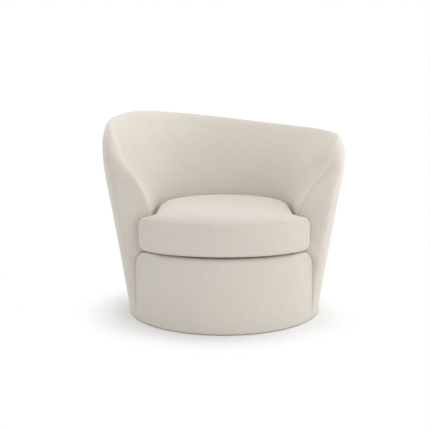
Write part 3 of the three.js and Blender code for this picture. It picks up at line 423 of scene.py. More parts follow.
def sew(
    made: bpy.types.Object,
    gap: np.ndarray,
    dip: float,
    reach: float,
    pucker: float = 0.0004,
    shared: bool = False,
) -> None:
    """Draw a cover in along its seams, with slight puckers, and let it give a little.

    Args:
        made: Cover to shape.
        gap: Distance of each vertex from its nearest seam.
        dip: Depth of a seam.
        reach: Distance over which the cloth rises again.
        pucker: Height of the puckers beside a seam.
        shared: Whether the two covers at a seam are drawn towards the swivel axis together.
    """
    place = read_places(made)
    towards = read_places(made, "normal")
    if shared:
        radial = place * (1, 1, 0)
        radial /= np.linalg.norm(radial, axis=1)[:, None]
        join = np.exp(-((gap / JOIN_REACH) ** 2))[:, None]
        towards = towards * (1 - join) + radial * join
    inward = -dip * np.exp(-((gap / reach) ** 2))
    height = pucker * np.exp(-np.abs(gap) / PUCKER_REACH)
    for i, point in enumerate(place):
        spot = Vector(point)
        inward[i] += height[i] * noise.noise(spot * PUCKER_RATE)
        inward[i] += GIVE * noise.noise(spot * GIVE_RATE)
    write_places(made, place + towards * inward[:, None])
    mark_seams(made, gap)


def keep_shown(made: bpy.types.Object) -> None:
    """Replace a piece's mesh with what its modifiers show, and drop them."""
    graph = bpy.context.evaluated_depsgraph_get()
    shown = bpy.data.meshes.new_from_object(made.evaluated_get(graph))
    made.modifiers.clear()
    made.data = shown


def remesh_evenly(made: bpy.types.Object, voxel: float) -> None:
    """Rebuild a closed piece from small even faces."""
    change = made.modifiers.new("even", "REMESH")
    change.mode = "VOXEL"
    change.voxel_size = voxel
    change.use_smooth_shade = True
    keep_shown(made)


def ease_wrinkles(made: bpy.types.Object, rounds: int = 4) -> None:
    """Move each vertex halfway to its neighbours' middle for a number of rounds."""
    bm = bmesh.new()
    bm.from_mesh(made.data)
    for _ in range(rounds):
        bmesh.ops.smooth_vert(
            bm, verts=bm.verts, factor=0.5, use_axis_x=True, use_axis_y=True, use_axis_z=True
        )
    bm.to_mesh(made.data)
    bm.free()


def nearest(places: np.ndarray, points: np.ndarray) -> np.ndarray:
    """Return each place's distance from the nearest of some points, in plan."""
    gap = np.full(len(places), FAR)
    for point in points:
        gap = np.minimum(gap, np.hypot(*(places - point).T))
    return gap


def arch(gap: np.ndarray, reach: float, power: float) -> np.ndarray:
    """Return a rise from 0 at no gap to 1 at its reach, steeper at first."""
    return 1 - (1 - np.clip(gap / reach, 0, 1)) ** power


def quarter(share: np.ndarray) -> np.ndarray:
    """Return the drop of a quarter circle, from 0 to 1."""
    return 1 - np.sqrt(1 - share**2)


def thicken(made: bpy.types.Object, thickness: float, offset: float = -1.0) -> None:
    """Give a sheet of cloth its thickness, inwards from the face that shows unless told."""
    wall = made.modifiers.new("thickness", "SOLIDIFY")
    wall.thickness = thickness
    wall.offset = offset


class Wiring:
    """A short way to add and join the nodes of a material or of the world."""

    def __init__(self, owner: bpy.types.ID) -> None:
        """Switch the owner's nodes on."""
        owner.use_nodes = True
        self.nodes = owner.node_tree.nodes
        self.links = owner.node_tree.links

    def join(self, node: bpy.types.Node, inputs: dict) -> bpy.types.Node:
        """Set a node's inputs, from values or from other nodes' sockets."""
        for name, value in inputs.items():
            if isinstance(value, Socket):
                self.links.new(value, node.inputs[name])
            else:
                node.inputs[name].default_value = value
        return node

    def add(self, kind: str, inputs: dict, **settings: object) -> bpy.types.Node:
        """Add a node with its settings, and set its inputs."""
        made = self.nodes.new("ShaderNode" + kind)
        for name, value in settings.items():
            setattr(made, name, value)
        return self.join(made, inputs)

    def maths(self, operation: str, *values: object) -> Socket:
        """Return the result of a sum on sockets or numbers."""
        return self.add("Math", dict(enumerate(values)), operation=operation).outputs["Value"]

    def vector(self, operation: str, *values: object) -> bpy.types.Node:
        """Return a vector sum's node on sockets or vectors."""
        return self.add("VectorMath", dict(enumerate(values)), operation=operation)

    def spread(self, value: Socket, low: float, high: float) -> Socket:
        """Return a value's 0 to 1 laid over low to high."""
        given = {"Value": value, "To Min": low, "To Max": high}
        return self.add("MapRange", given).outputs["Result"]

    def fade(self, value: Socket, start: float, end: float, low: float = 0.0) -> Socket:
        """Return an eased rise to 1 between two values, from a lowest result."""
        given = {"Value": value, "From Min": start, "From Max": end, "To Min": low}
        return self.add("MapRange", given, interpolation_type="SMOOTHSTEP").outputs["Result"]

    def blend(self, share: Socket, first: object, second: object) -> Socket:
        """Return a mix of two colours, each a value or a socket."""
        made = self.add("Mix", {}, data_type="RGBA")
        sockets = {socket.identifier: socket for socket in made.inputs}
        self.links.new(share, sockets["Factor_Float"])
        for name, value in (("A_Color", first), ("B_Color", second)):
            if isinstance(value, Socket):
                self.links.new(value, sockets[name])
            else:
                sockets[name].default_value = (*value, 1)
        return next(one for one in made.outputs if one.identifier == "Result_Color")


class Tree(Wiring):
    """The nodes of one material, with its shader and its place on the piece."""

    def __init__(self, name: str, roughness: float, metallic: float = 0.0) -> None:
        """Start a material of some roughness, with metallic 1 for bare metal."""
        self.made = bpy.data.materials.new(name)
        self.roughness = roughness
        super().__init__(self.made)
        self.shader = self.nodes["Principled BSDF"]
        self.join(self.shader, {"Roughness": roughness, "Metallic": metallic})
        self.place = self.add("TexCoord", {}).outputs

    def noise(self, scale: Triple, detail: float = 2.0, place: Socket | None = None) -> Socket:
        """Return noise, stretched by a scale for each axis of a place or of the object."""
        given = {"Vector": place or self.place["Object"], "Scale": scale}
        stretched = self.add("Mapping", given).outputs["Vector"]
        given = {"Vector": stretched, "Scale": 1.0, "Detail": detail}
        return self.add("TexNoise", given).outputs["Fac"]

    def dress(
        self, colour: Socket, worn: Socket, uneven: Pair, height: Socket, relief: Pair
    ) -> bpy.types.Material:
        """Join colour, roughness and bump to the shader.

        Args:
            colour: Colour of the surface.
            worn: Where the surface is rougher, from 0 to 1.
            uneven: How far the roughness goes under and over its middle.
            height: Height of the relief.
            relief: Strength and distance of the bump.

        Returns:
            The finished material.
        """
        rough = self.spread(worn, self.roughness - uneven[0], self.roughness + uneven[1])
        given = {"Strength": relief[0], "Distance": relief[1], "Height": height}
        normal = self.add("Bump", given).outputs["Normal"]
        self.join(self.shader, {"Base Color": colour, "Roughness": rough, "Normal": normal})
        return self.made


@dataclass(frozen=True)
class Linen:
    """Plain-woven upholstery linen: its colours, threads, slubs, relief and painted shade along
    its seams.
    """

    name: str
    colour: Triple = (0.655, 0.611, 0.545)
    pale: Triple = (0.712, 0.670, 0.602)
    shade: Triple = (0.590, 0.546, 0.480)
    tones: Triple = (0.25, 0.5, 0.78)
    thread: float = 0.0013
    unevenness: float = 0.5
    slub: Pair = (40.0, 420.0)
    slub_share: float = 0.40
    cloud: float = 6.0
    cloud_share: float = 0.22
    ground: float = -0.08
    thread_share: float = 0.16
    relief: Pair = (0.12, 0.0006)
    slub_height: float = 0.6
    roughness: float = 0.86
    uneven: Pair = (0.08, 0.08)
    sheen: float = 0.25
    sheen_roughness: float = 0.5
    specular: float = 0.2
    # Painted shade along seams: how dark the cloth's colour is made at a seam, and the distances
    # over which that darkening eases back to none.
    painted_seam_shade: float = 0.92
    painted_seam_width: Pair = (0.0004, 0.0030)

    def weave(self, tree: Tree, cloth: Socket) -> Socket:
        """Return the crossing warp and weft threads."""
        given = {
            "Vector": cloth,
            "Scale": WAVE_PERIOD / self.thread,
            "Distortion": self.unevenness,
            "Detail": 1.0,
            "Detail Scale": 0.6,
        }
        threads = [
            tree.add("TexWave", given, bands_direction=way).outputs["Fac"] for way in ("X", "Y")
        ]
        return tree.maths("MULTIPLY", *threads)

    def tone(self, tree: Tree, share: Socket) -> Socket:
        """Return the cloth's colour, from its shade to its palest thread."""
        made = tree.add("ValToRGB", {"Fac": share})
        low, middle, high = self.tones
        made.color_ramp.elements[0].position = low
        made.color_ramp.elements[0].color = (*self.shade, 1)
        made.color_ramp.elements[1].position = high
        made.color_ramp.elements[1].color = (*self.pale, 1)
        made.color_ramp.elements.new(middle).color = (*self.colour, 1)
        return made.outputs["Color"]

    def build(self) -> bpy.types.Material:
        """Make the material, whose weave follows the piece's own UV map, in metres."""
        tree = Tree(self.name, self.roughness)
        given = {
            "Sheen Weight": self.sheen,
            "Sheen Roughness": self.sheen_roughness,
            "Specular IOR Level": self.specular,
        }
        tree.join(tree.shader, given)
        cloth = tree.add("UVMap", {}, uv_map=CLOTH_MAP).outputs["UV"]
        weave = self.weave(tree, cloth)
        short, long = self.slub
        slub = tree.noise((short, long, 1.0), place=cloth)
        slubs = tree.maths("ADD", slub, tree.noise((long, short, 1.0), place=cloth))
        cloudy = tree.noise((self.cloud,) * 3, 3.0)
        ground = tree.maths("MULTIPLY_ADD", cloudy, self.cloud_share, self.ground)
        threads = tree.maths("MULTIPLY_ADD", weave, self.thread_share, ground)
        share = tree.maths("MULTIPLY_ADD", slubs, self.slub_share, threads)
        # Painted shade: the cloth's colour is darkened along its seams, standing in for the shade
        # in each seam's groove.
        gap = tree.add("Attribute", {}, attribute_name=SEAM_GAP).outputs["Fac"]
        painted_seam_factor = tree.fade(tree.maths("ABSOLUTE", gap), *self.painted_seam_width, self.painted_seam_shade)
        darker = tree.join(tree.vector("SCALE", self.tone(tree, share)), {"Scale": painted_seam_factor})
        height = tree.maths("MULTIPLY_ADD", slubs, self.slub_height, weave)
        return tree.dress(darker.outputs["Vector"], slub, self.uneven, height, self.relief)


@dataclass(frozen=True)
class Plywood:
    """Raw birch plywood: sanded grain on the faces, and light and dark plies on the edges."""

    name: str
    axis: PlyAxis
    early: Triple = (0.560, 0.400, 0.235)
    late: Triple = (0.430, 0.280, 0.145)
    dark_ply: Triple = (0.270, 0.165, 0.085)
    ply: float = 0.0015
    level_grain: Triple = (9, 130, 130)
    upright_grain: Triple = (130, 130, 7)
    pore_rate: float = 4.0
    wander: float = 0.3
    ply_tones: Pair = (0.1, 0.9)
    roughness: float = 0.62
    uneven: Pair = (0.10, 0.12)
    relief: Pair = (0.15, 0.0005)

    def stack(self, tree: Tree) -> tuple[Socket, Socket]:
        """Return the place through the plies, and how squarely a face looks along them."""
        here, normal = tree.place["Object"], tree.place["Normal"]
        flat = tree.vector("MULTIPLY", here, (1, 1, 0)).outputs["Vector"]
        outward = tree.vector("NORMALIZE", flat).outputs["Vector"]
        radius = tree.vector("LENGTH", flat).outputs["Value"]
        if self.axis is PlyAxis.OUTWARD:
            return radius, tree.vector("DOT_PRODUCT", normal, outward).outputs["Value"]
        if self.axis is PlyAxis.ROUND:
            apart = tree.add("SeparateXYZ", {"Vector": here}).outputs
            turn = tree.maths("ARCTAN2", apart["X"], apart["Y"])
            way = tree.vector("CROSS_PRODUCT", outward, (0, 0, 1)).outputs["Vector"]
            across = tree.vector("DOT_PRODUCT", normal, way).outputs["Value"]
            return tree.maths("MULTIPLY", turn, radius), across
        way = (0, 0, 1) if self.axis is PlyAxis.UP else (0, 1, 0)
        through = tree.vector("DOT_PRODUCT", here, way).outputs["Value"]
        return through, tree.vector("DOT_PRODUCT", normal, way).outputs["Value"]

    def build(self) -> bpy.types.Material:
        """Make the material, with its plies stacked along the board's own thickness."""
        tree = Tree(self.name, self.roughness)
        stack, across = self.stack(tree)
        edge = tree.maths("LESS_THAN", tree.maths("ABSOLUTE", across), 0.5)
        scale = self.level_grain if self.axis is PlyAxis.UP else self.upright_grain
        grain = tree.noise(scale, 4.0)
        pores = tree.noise(tuple(self.pore_rate * value for value in scale))
        face = tree.blend(grain, self.early, self.late)
        layer = tree.maths("PINGPONG", tree.maths("DIVIDE", stack, self.ply), 1.0)
        centred = tree.maths("SUBTRACT", layer, self.wander / 2)
        wander = tree.maths("MULTIPLY_ADD", pores, self.wander, centred)
        plies = tree.blend(tree.spread(wander, *self.ply_tones), self.early, self.dark_ply)
        colour = tree.blend(edge, face, plies)
        height = tree.maths("ADD", grain, pores)
        return tree.dress(colour, grain, self.uneven, height, self.relief)


@dataclass(frozen=True)
class ZincSteel:
    """Pressed steel with bright zinc plating: faint spangle, rolling marks and dull patches."""

    name: str = "zinc_steel"
    bright: Triple = (0.62, 0.63, 0.64)
    dull: Triple = (0.40, 0.41, 0.43)
    spangle: float = 260.0
    spangle_share: float = 0.35
    patch: Triple = (18, 18, 18)
    rolling: Triple = (30, 900, 60)
    tones: Pair = (-0.2, 0.9)
    roughness: float = 0.36
    uneven: Pair = (0.10, 0.16)
    relief: Pair = (0.08, 0.0002)

    def build(self) -> bpy.types.Material:
        """Make the material."""
        tree = Tree(self.name, self.roughness, 1.0)
        cells = tree.add("TexVoronoi", {"Vector": tree.place["Object"], "Scale": self.spangle})
        patches = tree.noise(self.patch, 3.0)
        rolled = tree.noise(self.rolling)
        tone = tree.maths("MULTIPLY_ADD", cells.outputs["Distance"], self.spangle_share, patches)
        colour = tree.blend(tree.spread(tone, *self.tones), self.bright, self.dull)
        return tree.dress(colour, patches, self.uneven, rolled, self.relief)


@dataclass(frozen=True)
class SpringSteel:
    """Oil-tempered spring wire: dark, slightly blue, with drawing marks along the wire."""

    name: str = "spring_steel"
    dark: Triple = (0.105, 0.105, 0.115)
    worn: Triple = (0.24, 0.235, 0.23)
    patch: Triple = (45, 45, 45)
    drawing: Triple = (900, 60, 900)
    wear_from: float = 0.35
    wear_ease: float = 0.1
    roughness: float = 0.34
    uneven: Pair = (0.08, 0.14)
    relief: Pair = (0.1, 0.0002)

    def build(self) -> bpy.types.Material:
        """Make the material."""
        tree = Tree(self.name, self.roughness, 1.0)
        patches = tree.noise(self.patch, 3.0)
        drawn = tree.noise(self.drawing)
        past = tree.maths("SUBTRACT", patches, self.wear_from)
        wear = tree.maths("SMOOTH_MAX", past, 0.0, self.wear_ease)
        colour = tree.blend(wear, self.dark, self.worn)
        return tree.dress(colour, drawn, self.uneven, drawn, self.relief)


@dataclass(frozen=True)
class FibreCloth:
    """Matted fibres without a weave: dense felt, or thin spot-bonded dust cloth."""

    name: str
    colour: Triple = (0.022, 0.022, 0.023)
    pale: Triple = (0.050, 0.049, 0.048)
    fibre: float = 900.0
    bond: float = 0.0
    bond_tones: Pair = (0.4, 1.2)
    roughness: float = 0.95
    uneven: Pair = (0.08, 0.05)
    sheen: Pair = (0.3, 0.6)
    relief: Pair = (0.4, 0.0006)

    def build(self) -> bpy.types.Material:
        """Make the material."""
        tree = Tree(self.name, self.roughness)
        weight, spread = self.sheen
        tree.join(tree.shader, {"Sheen Weight": weight, "Sheen Roughness": spread})
        along = tree.noise((self.fibre, self.fibre / 8, self.fibre / 3))
        across = tree.noise((self.fibre / 8, self.fibre, self.fibre / 3))
        mat = tree.maths("MAXIMUM", along, across)
        if self.bond:
            given = {"Vector": tree.place["Object"], "Scale": self.bond, "Randomness": 0.0}
            spots = tree.add("TexVoronoi", given).outputs["Distance"]
            mat = tree.maths("MULTIPLY", mat, tree.spread(spots, *self.bond_tones))
        colour = tree.blend(mat, self.colour, self.pale)
        return tree.dress(colour, mat, self.uneven, mat, self.relief)


def lay_uv(made: bpy.types.Object) -> None:
    """Give a piece a cloth UV map in metres, by the way that each face looks."""
    mesh = made.data
    layer = mesh.uv_layers.new(name=CLOTH_MAP)
    corner = np.zeros(len(mesh.loops), np.int32)
    mesh.loops.foreach_get("vertex_index", corner)
    normal = np.zeros(len(mesh.polygons) * 3, np.float32)
    mesh.polygons.foreach_get("normal", normal)
    sizes = np.zeros(len(mesh.polygons), np.int32)
    mesh.polygons.foreach_get("loop_total", sizes)
    looks = np.repeat(normal.reshape(-1, 3), sizes, axis=0)
    at = read_places(made)[corner]
    turn = np.arctan2(at[:, 0], at[:, 1])
    radius = np.hypot(at[:, 0], at[:, 1])
    level = np.abs(looks[:, 2]) > LEVEL_LOOK
    across = np.where(level, at[:, 0], turn * np.maximum(radius.mean(), LEAST_TURN_RADIUS))
    along = np.where(level, at[:, 1], at[:, 2])
    layer.data.foreach_set("uv", np.stack([across, along], axis=1).astype(np.float32).ravel())


@dataclass
class OutsideCloth:
    """The outside cover: linen round the shell, from the hem to the seam under the rim."""

    material: bpy.types.Material
    form: ShellForm = FORM
    columns: int = 270
    rows: int = 84
    corner_columns: int = 15
    row_power: float = 1.35
    seam_dip: float = 0.0014
    seam_reach: float = 0.0045
    thickness: float = 0.005
    back_seams: tuple[int, ...] = (75, 195)

    def edge_at(self, step: float) -> Edge:
        """Return the edge of the cover at a column."""
        form = self.form
        rim = form.arm_angle - form.corner_angle
        if step < self.corner_columns:
            return form.edge(-1, 90 * step / self.corner_columns)
        if step > self.columns - self.corner_columns:
            return form.edge(1, 90 * (self.columns - step) / self.corner_columns)
        share = (step - self.corner_columns) / (self.columns - 2 * self.corner_columns)
        return form.rim_edge(mix(-rim, rim, share))

    def place(self, across: float, along: float) -> Vector:
        """Return a point, from the left arm's seam across and from the hem along."""
        edge = self.edge_at(across * self.columns)
        lift = 1 - (1 - along) ** self.row_power
        height = mix(self.form.hem, edge.outer_height, lift)
        radius = self.form.side_radius(edge.outer_angle, height)
        return polar(edge.outer_angle, radius, height)

    def seams(self) -> list[list[Vector]]:
        """Return the seam lines: both arms, the rim and the two joins at the back."""
        steps = [i / SEAM_STEPS for i in range(SEAM_STEPS + 1)]
        lines = [[self.place(end, step) for step in steps] for end in (0.0, 1.0)]
        lines.append([self.place(i / self.columns, 1.0) for i in range(self.columns + 1)])
        for column in self.back_seams:
            lines.append([self.place(column / self.columns, step) for step in steps])
        return lines

    def build(self) -> bpy.types.Object:
        """Make the cover and dress it."""
        eye = Vector((0.0, 3.0, 0.4))
        grid = (self.columns, self.rows, self.place)
        made = cloth_sheet("outside_cloth", self.material, eye, grid)
        gap = seam_gaps(made, self.seams())
        sew(made, gap, self.seam_dip, self.seam_reach, shared=True)
        thicken(made, self.thickness)
        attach(made, "chair")
        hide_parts("outside_cover")
        return made


@dataclass
class InsideCloth:
    """The arm faces, rim and inside wall: one soft skin that turns over the edge."""

    material: bpy.types.Material
    form: ShellForm = FORM
    wall_bottom: float = FORM.apron_top
    low_rows: int = 44
    seam_rows: int = 16
    ledge_rows: int = 32
    corner_columns: int = 26
    rim_columns: int = 180
    band_steps: int = 44
    wall_rows: int = 60
    fade_turn: float = 0.68
    crown: float = 0.015
    crown_share_low: float = 0.10
    outer_rounding: float = 0.26
    inner_rounding: float = 0.12
    inner_rounding_low: float = 0.5
    inner_rounding_top: float = 0.45
    rounding_from: float = 0.42
    rounding_to_drop: float = 0.16
    fall: float = 0.45
    seam_dip: float = 0.0014
    seam_reach: float = 0.0045
    thickness: float = 0.004
    outer_reach: float = 0.096
    inner_reach: float = 0.078
    meet: float = 0.0002

    @property
    def face_rows(self) -> int:
        """Return the number of rows on an arm's front face."""
        return self.low_rows + self.wall_rows

    @property
    def wall_columns(self) -> int:
        """Return the number of columns from one arm's face to the other's."""
        return 2 * self.corner_columns + self.rim_columns

    @property
    def stations(self) -> int:
        """Return the number of steps from one arm's hem to the other's."""
        return 2 * self.face_rows + self.wall_columns

    def face_height(self, step: float) -> float:
        """Return the height of a row on an arm's front face."""
        form = self.form
        rows = (0, self.seam_rows, self.ledge_rows, self.low_rows, self.face_rows)
        seam_end = form.apron_top - form.apron_corner_drop
        ledge = form.apron_top - form.ledge_drop
        heights = (form.hem, seam_end, ledge, self.wall_bottom, form.arm_face_top)
        part = next(i for i in range(4) if step < rows[i + 1])
        share = (step - rows[part]) / (rows[part + 1] - rows[part])
        return mix(heights[part], heights[part + 1], share)

    def edge_at(self, near: float, side: int) -> Edge:
        """Return the edge a number of steps past an arm's face."""
        if near < self.corner_columns:
            return self.form.edge(side, 90 * near / self.corner_columns)
        rim = self.form.arm_angle - self.form.corner_angle
        share = (near - self.corner_columns) / (self.rim_columns / 2)
        return self.form.rim_edge(side * mix(rim, 0, share))

    def ends(self, step: float) -> tuple[Vector, Vector, float, float, float]:
        """Return the band's two ends at a station.

        Args:
            step: Station number, from the left arm's hem to the right arm's.

        Returns:
            Outer point, inner point, turn in degrees, crown, and then how low the station
            is on an arm's face, or the slant of the inside wall where the edge turns.
        """
        form = self.form
        side = -1 if step < self.stations / 2 else 1
        near = min(step, self.stations - step)
        if near < self.face_rows:
            height = self.face_height(near)
            outer, inner = form.face_edge(side, height)
            low = 1 - smooth((height - form.apron_top) / form.ledge_drop)
            crown = mix(self.crown, self.crown_share_low * (outer - inner).length, low)
            return outer, inner, 0.0, crown, low
        edge = self.edge_at(near - self.face_rows, side)
        outer = polar(edge.outer_angle, form.wall_radius(edge.outer_height), edge.outer_height)
        radius = form.inner_radius(edge.inner_angle, edge.inner_height)
        inner = polar(edge.inner_angle, radius, edge.inner_height)
        lean = form.inner_lean(edge.inner_angle, edge.inner_height)
        return outer, inner, edge.turn, self.crown, lean

    def band(self, across: float, along: float) -> Vector:
        """Return a point of the crowned band over the edge.

        Args:
            across: Share from the left arm's hem to the right arm's.
            along: Share from the outer seam to the crease.

        Returns:
            Point of the band.
        """
        outer, inner, turn, crown, lean = self.ends(across * self.stations)
        rise, level = sind(turn), cosd(turn)
        low = 0.0 if turn else lean
        lead = outer - inner
        forward = Vector((lead.y, -lead.x, 0)).normalized()
        if forward.y > 0:
            forward = -forward
        outward = (forward * level + UP * rise).normalized()
        reach = (1 - cosd(180 * along)) / 2
        from_outer = 1 - clamp(reach / self.outer_rounding)
        ridge_end = self.form.rim_low - self.rounding_to_drop - self.rounding_from
        share = smooth((inner.z - self.rounding_from) / ridge_end)
        ridge = mix(self.inner_rounding, self.inner_rounding_top, share)
        from_inner = 1 - clamp((1 - reach) / mix(ridge, self.inner_rounding_low, low))
        out = math.sqrt(1 - from_outer**2) * math.sqrt(1 - from_inner**2) * (1 - self.fall * reach)
        drop = (self.form.roll_outer_drop + self.form.roll_inner_drop) / 2
        face = outer.lerp(inner, reach) + outward * (mix(crown, drop, rise * rise) * out)
        if rise <= 0:
            return face
        along_wall = (UP + Vector((inner.x, inner.y, 0)).normalized() * lean).normalized()
        first = outer + (UP * rise + forward * level) * self.outer_reach
        second = inner + (along_wall * rise + forward * level) * self.inner_reach
        back = 1 - along
        curve = outer * back**3 + first * (3 * along * back**2)
        curve += second * (3 * along * along * back) + inner * along**3
        return face.lerp(curve, smooth(rise / self.fade_turn))

    def wall(self, across: float, along: float) -> Vector:
        """Return a point of the inside wall, from the left crease and from the seat deck."""
        form = self.form
        step = across * self.wall_columns
        side = -1 if across < 0.5 else 1
        edge = self.edge_at(min(step, self.wall_columns - step), side)
        height = mix(self.wall_bottom, edge.inner_height, along)
        crease = form.crease(mix(self.wall_bottom, form.arm_face_top, along))
        back = (crease - form.crease_angle) * max(cosd(edge.turn), 0.0)
        angle = side * (abs(edge.inner_angle) + back)
        return polar(angle, form.inner_radius(angle, height), height)

    def seams(self) -> list[list[Vector]]:
        """Return the one seam line: the outer edge, from hem to hem."""
        return [[self.band(i / self.stations, 0.0) for i in range(self.stations + 1)]]

    def build(self) -> bpy.types.Object:
        """Make the skin from its band and its wall, and dress it."""
        eye = Vector((0.0, 0.0, 2.0))
        band = (self.stations, self.band_steps, self.band)
        wall = (self.wall_columns, self.wall_rows, self.wall)
        made = cloth_sheet("inside_cloth", self.material, eye, band, wall, meet=self.meet)
        gap = seam_gaps(made, self.seams())
        sew(made, gap, self.seam_dip, self.seam_reach, shared=True)
        thicken(made, self.thickness)
        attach(made, "chair")
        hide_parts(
            "rim_roll",
            "arm_facing_left",
            "arm_facing_right",
            "lining_left",
            "lining_back",
            "lining_right",
        )
        return made


@dataclass
class FrontApron:
    """The front apron: a drum arc whose rounded top falls to the arm seams."""

    material: bpy.types.Material
    form: ShellForm = FORM
    rounding: float = 0.024
    rounding_end: float = 0.005
    shoulder_power: float = 14.0
    wall_share: float = 0.7
    turn_share: float = 0.9
    tuck: float = 0.008
    lip: float = 0.048
    lip_end: float = 0.012
    lip_from: float = 56.5
    lip_fade: float = 4.0
    columns: int = 150
    rows: int = 60
    seam_dip: float = 0.0007
    seam_reach: float = 0.003
    thickness: float = 0.004

    def place(self, across: float, along: float) -> Vector:
        """Return a point of the apron.

        Args:
            across: Share from the left seam to the right.
            along: Share from the hem up, over the top and under the cushion.

        Returns:
            Point of the apron.
        """
        form = self.form
        half = form.apron_half_angle
        full = form.apron_full_angle
        angle = half * sind(mix(-90, 90, across))
        past = clamp((abs(angle) - full) / (half - full))
        drop = form.apron_corner_drop
        top = form.apron_top - drop + drop * math.sqrt(1 - past * past)
        lip = mix(self.lip, self.lip_end, smooth((abs(angle) - self.lip_from) / self.lip_fade))
        shoulder = smooth(abs(angle) / full) ** self.shoulder_power
        rounding = mix(self.rounding, self.rounding_end, smooth(shoulder))
        plan = 180 + angle
        radius = form.drum_radius
        if along < self.wall_share:
            height = mix(form.hem, top - rounding, along / self.wall_share)
            return polar(plan, radius, height)
        if along < self.turn_share:
            turn = 90 * (along - self.wall_share) / (self.turn_share - self.wall_share)
            inward = radius - rounding + rounding * cosd(turn)
            return polar(plan, inward, top - rounding + rounding * sind(turn))
        share = (along - self.turn_share) / (1 - self.turn_share)
        return polar(plan, mix(radius - rounding, radius - self.tuck - lip, share), top)

    def seams(self) -> list[list[Vector]]:
        """Return the apron's two side seams."""
        ledge = self.form.apron_top - self.form.ledge_drop
        lines = []
        for side in Side:
            line = []
            for i in range(SEAM_STEPS + 1):
                height = mix(self.form.hem, ledge, i / SEAM_STEPS)
                angle = 180 - self.form.apron_edge(height)
                line.append(polar(side.value * angle, self.form.drum_radius, height))
            lines.append(line)
        return lines

    def build(self) -> bpy.types.Object:
        """Make the apron and dress it."""
        eye = Vector((0.0, -3.0, 0.2))
        grid = (self.columns, self.rows, self.place)
        made = cloth_sheet("apron_cloth", self.material, eye, grid)
        sew(made, seam_gaps(made, self.seams()), self.seam_dip, self.seam_reach)
        thicken(made, self.thickness)
        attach(made, "chair")
        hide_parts("front_apron")
        return made


@dataclass
class DeckCloth:
    """The seat deck: a pad in plain cloth over the springs, which dips between their rows."""

    material: bpy.types.Material
    springs: int = 5
    voxel: float = 0.005
    dip: float = 0.0022
    row_width: float = 0.030
    seam_dip: float = 0.0012
    seam_reach: float = 0.0040
    welt_inset: float = 0.004
    slack: float = 0.0004
    meet: float = 0.00005
    ease_rounds: int = 3
    pucker: float = 0.0002

    def rows(self) -> list[float]:
        """Return the middle of each spring, across the seat."""
        boxes = [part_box(f"seat_spring_{i + 1}") for i in range(self.springs)]
        return [(low.x + high.x) / 2 for low, high in boxes]

    def build(self) -> bpy.types.Object:
        """Make the deck from its pad's outline, soften it and dress it."""
        made = new_mesh("deck_cloth")
        low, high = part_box("deck_pad")
        bm = bmesh.new()
        bm.from_mesh(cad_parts["deck_pad"].data)
        bmesh.ops.remove_doubles(bm, verts=bm.verts, dist=self.meet)
        bmesh.ops.recalc_face_normals(bm, faces=bm.faces)
        finish_mesh(made, bm, self.material)
        remesh_evenly(made, self.voxel)
        ease_wrinkles(made, self.ease_rounds)
        place = read_places(made)
        start, end = place.min(axis=0), place.max(axis=0)
        first, last = np.array(low) + self.slack, np.array(high) - self.slack
        place = first + (place - start) / (end - start) * (last - first)
        upper = np.clip((place[:, 2] - low.z) / (high.z - low.z) * 2 - 1, 0, 1)
        held = np.zeros(len(place))
        for row in self.rows():
            held = np.maximum(held, np.exp(-(((place[:, 0] - row) / self.row_width) ** 2)))
        place[:, 2] -= self.dip * (1 - held) * upper
        place[:, 2] = np.clip(place[:, 2], low.z, high.z)
        write_places(made, place)
        seam = np.abs(place[:, 2] - (high.z - self.welt_inset))
        sew(made, seam, self.seam_dip, self.seam_reach, self.pucker)
        lay_uv(made)
        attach(made, "chair")
        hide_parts("deck_pad")
        return made


@dataclass
class DustCover:
    """The black cloth stapled under the base board, round the swivel plates."""

    material: bpy.types.Material
    columns: int = 144
    rows: int = 14
    thickness: float = 0.0006
    wave: float = 0.00008
    waves: int = 12

    @cached_property
    def radii(self) -> Pair:
        """Return the inner and outer radius of the cut."""
        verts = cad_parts["dust_cover"].data.vertices
        reach = [math.hypot(vert.co.x, vert.co.y) for vert in verts]
        return min(reach), max(reach)

    def place(self, across: float, along: float) -> Vector:
        """Return a point of the cloth, which waves slightly between its staples."""
        inner, outer = self.radii
        low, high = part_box("dust_cover")
        wave = self.wave * sind(360 * self.waves * across) * sind(180 * along)
        return polar(360 * across, mix(inner, outer, along), (low.z + high.z) / 2 + wave)

    def build(self) -> bpy.types.Object:
        eye = Vector((0.0, 0.0, -1.0))
        grid = (self.columns, self.rows, self.place)
        made = cloth_sheet("dust_cloth", self.material, eye, grid)
        thicken(made, self.thickness, 0.0)
        inner, outer = self.radii
        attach(made, "chair")
        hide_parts("dust_cover")
        return made


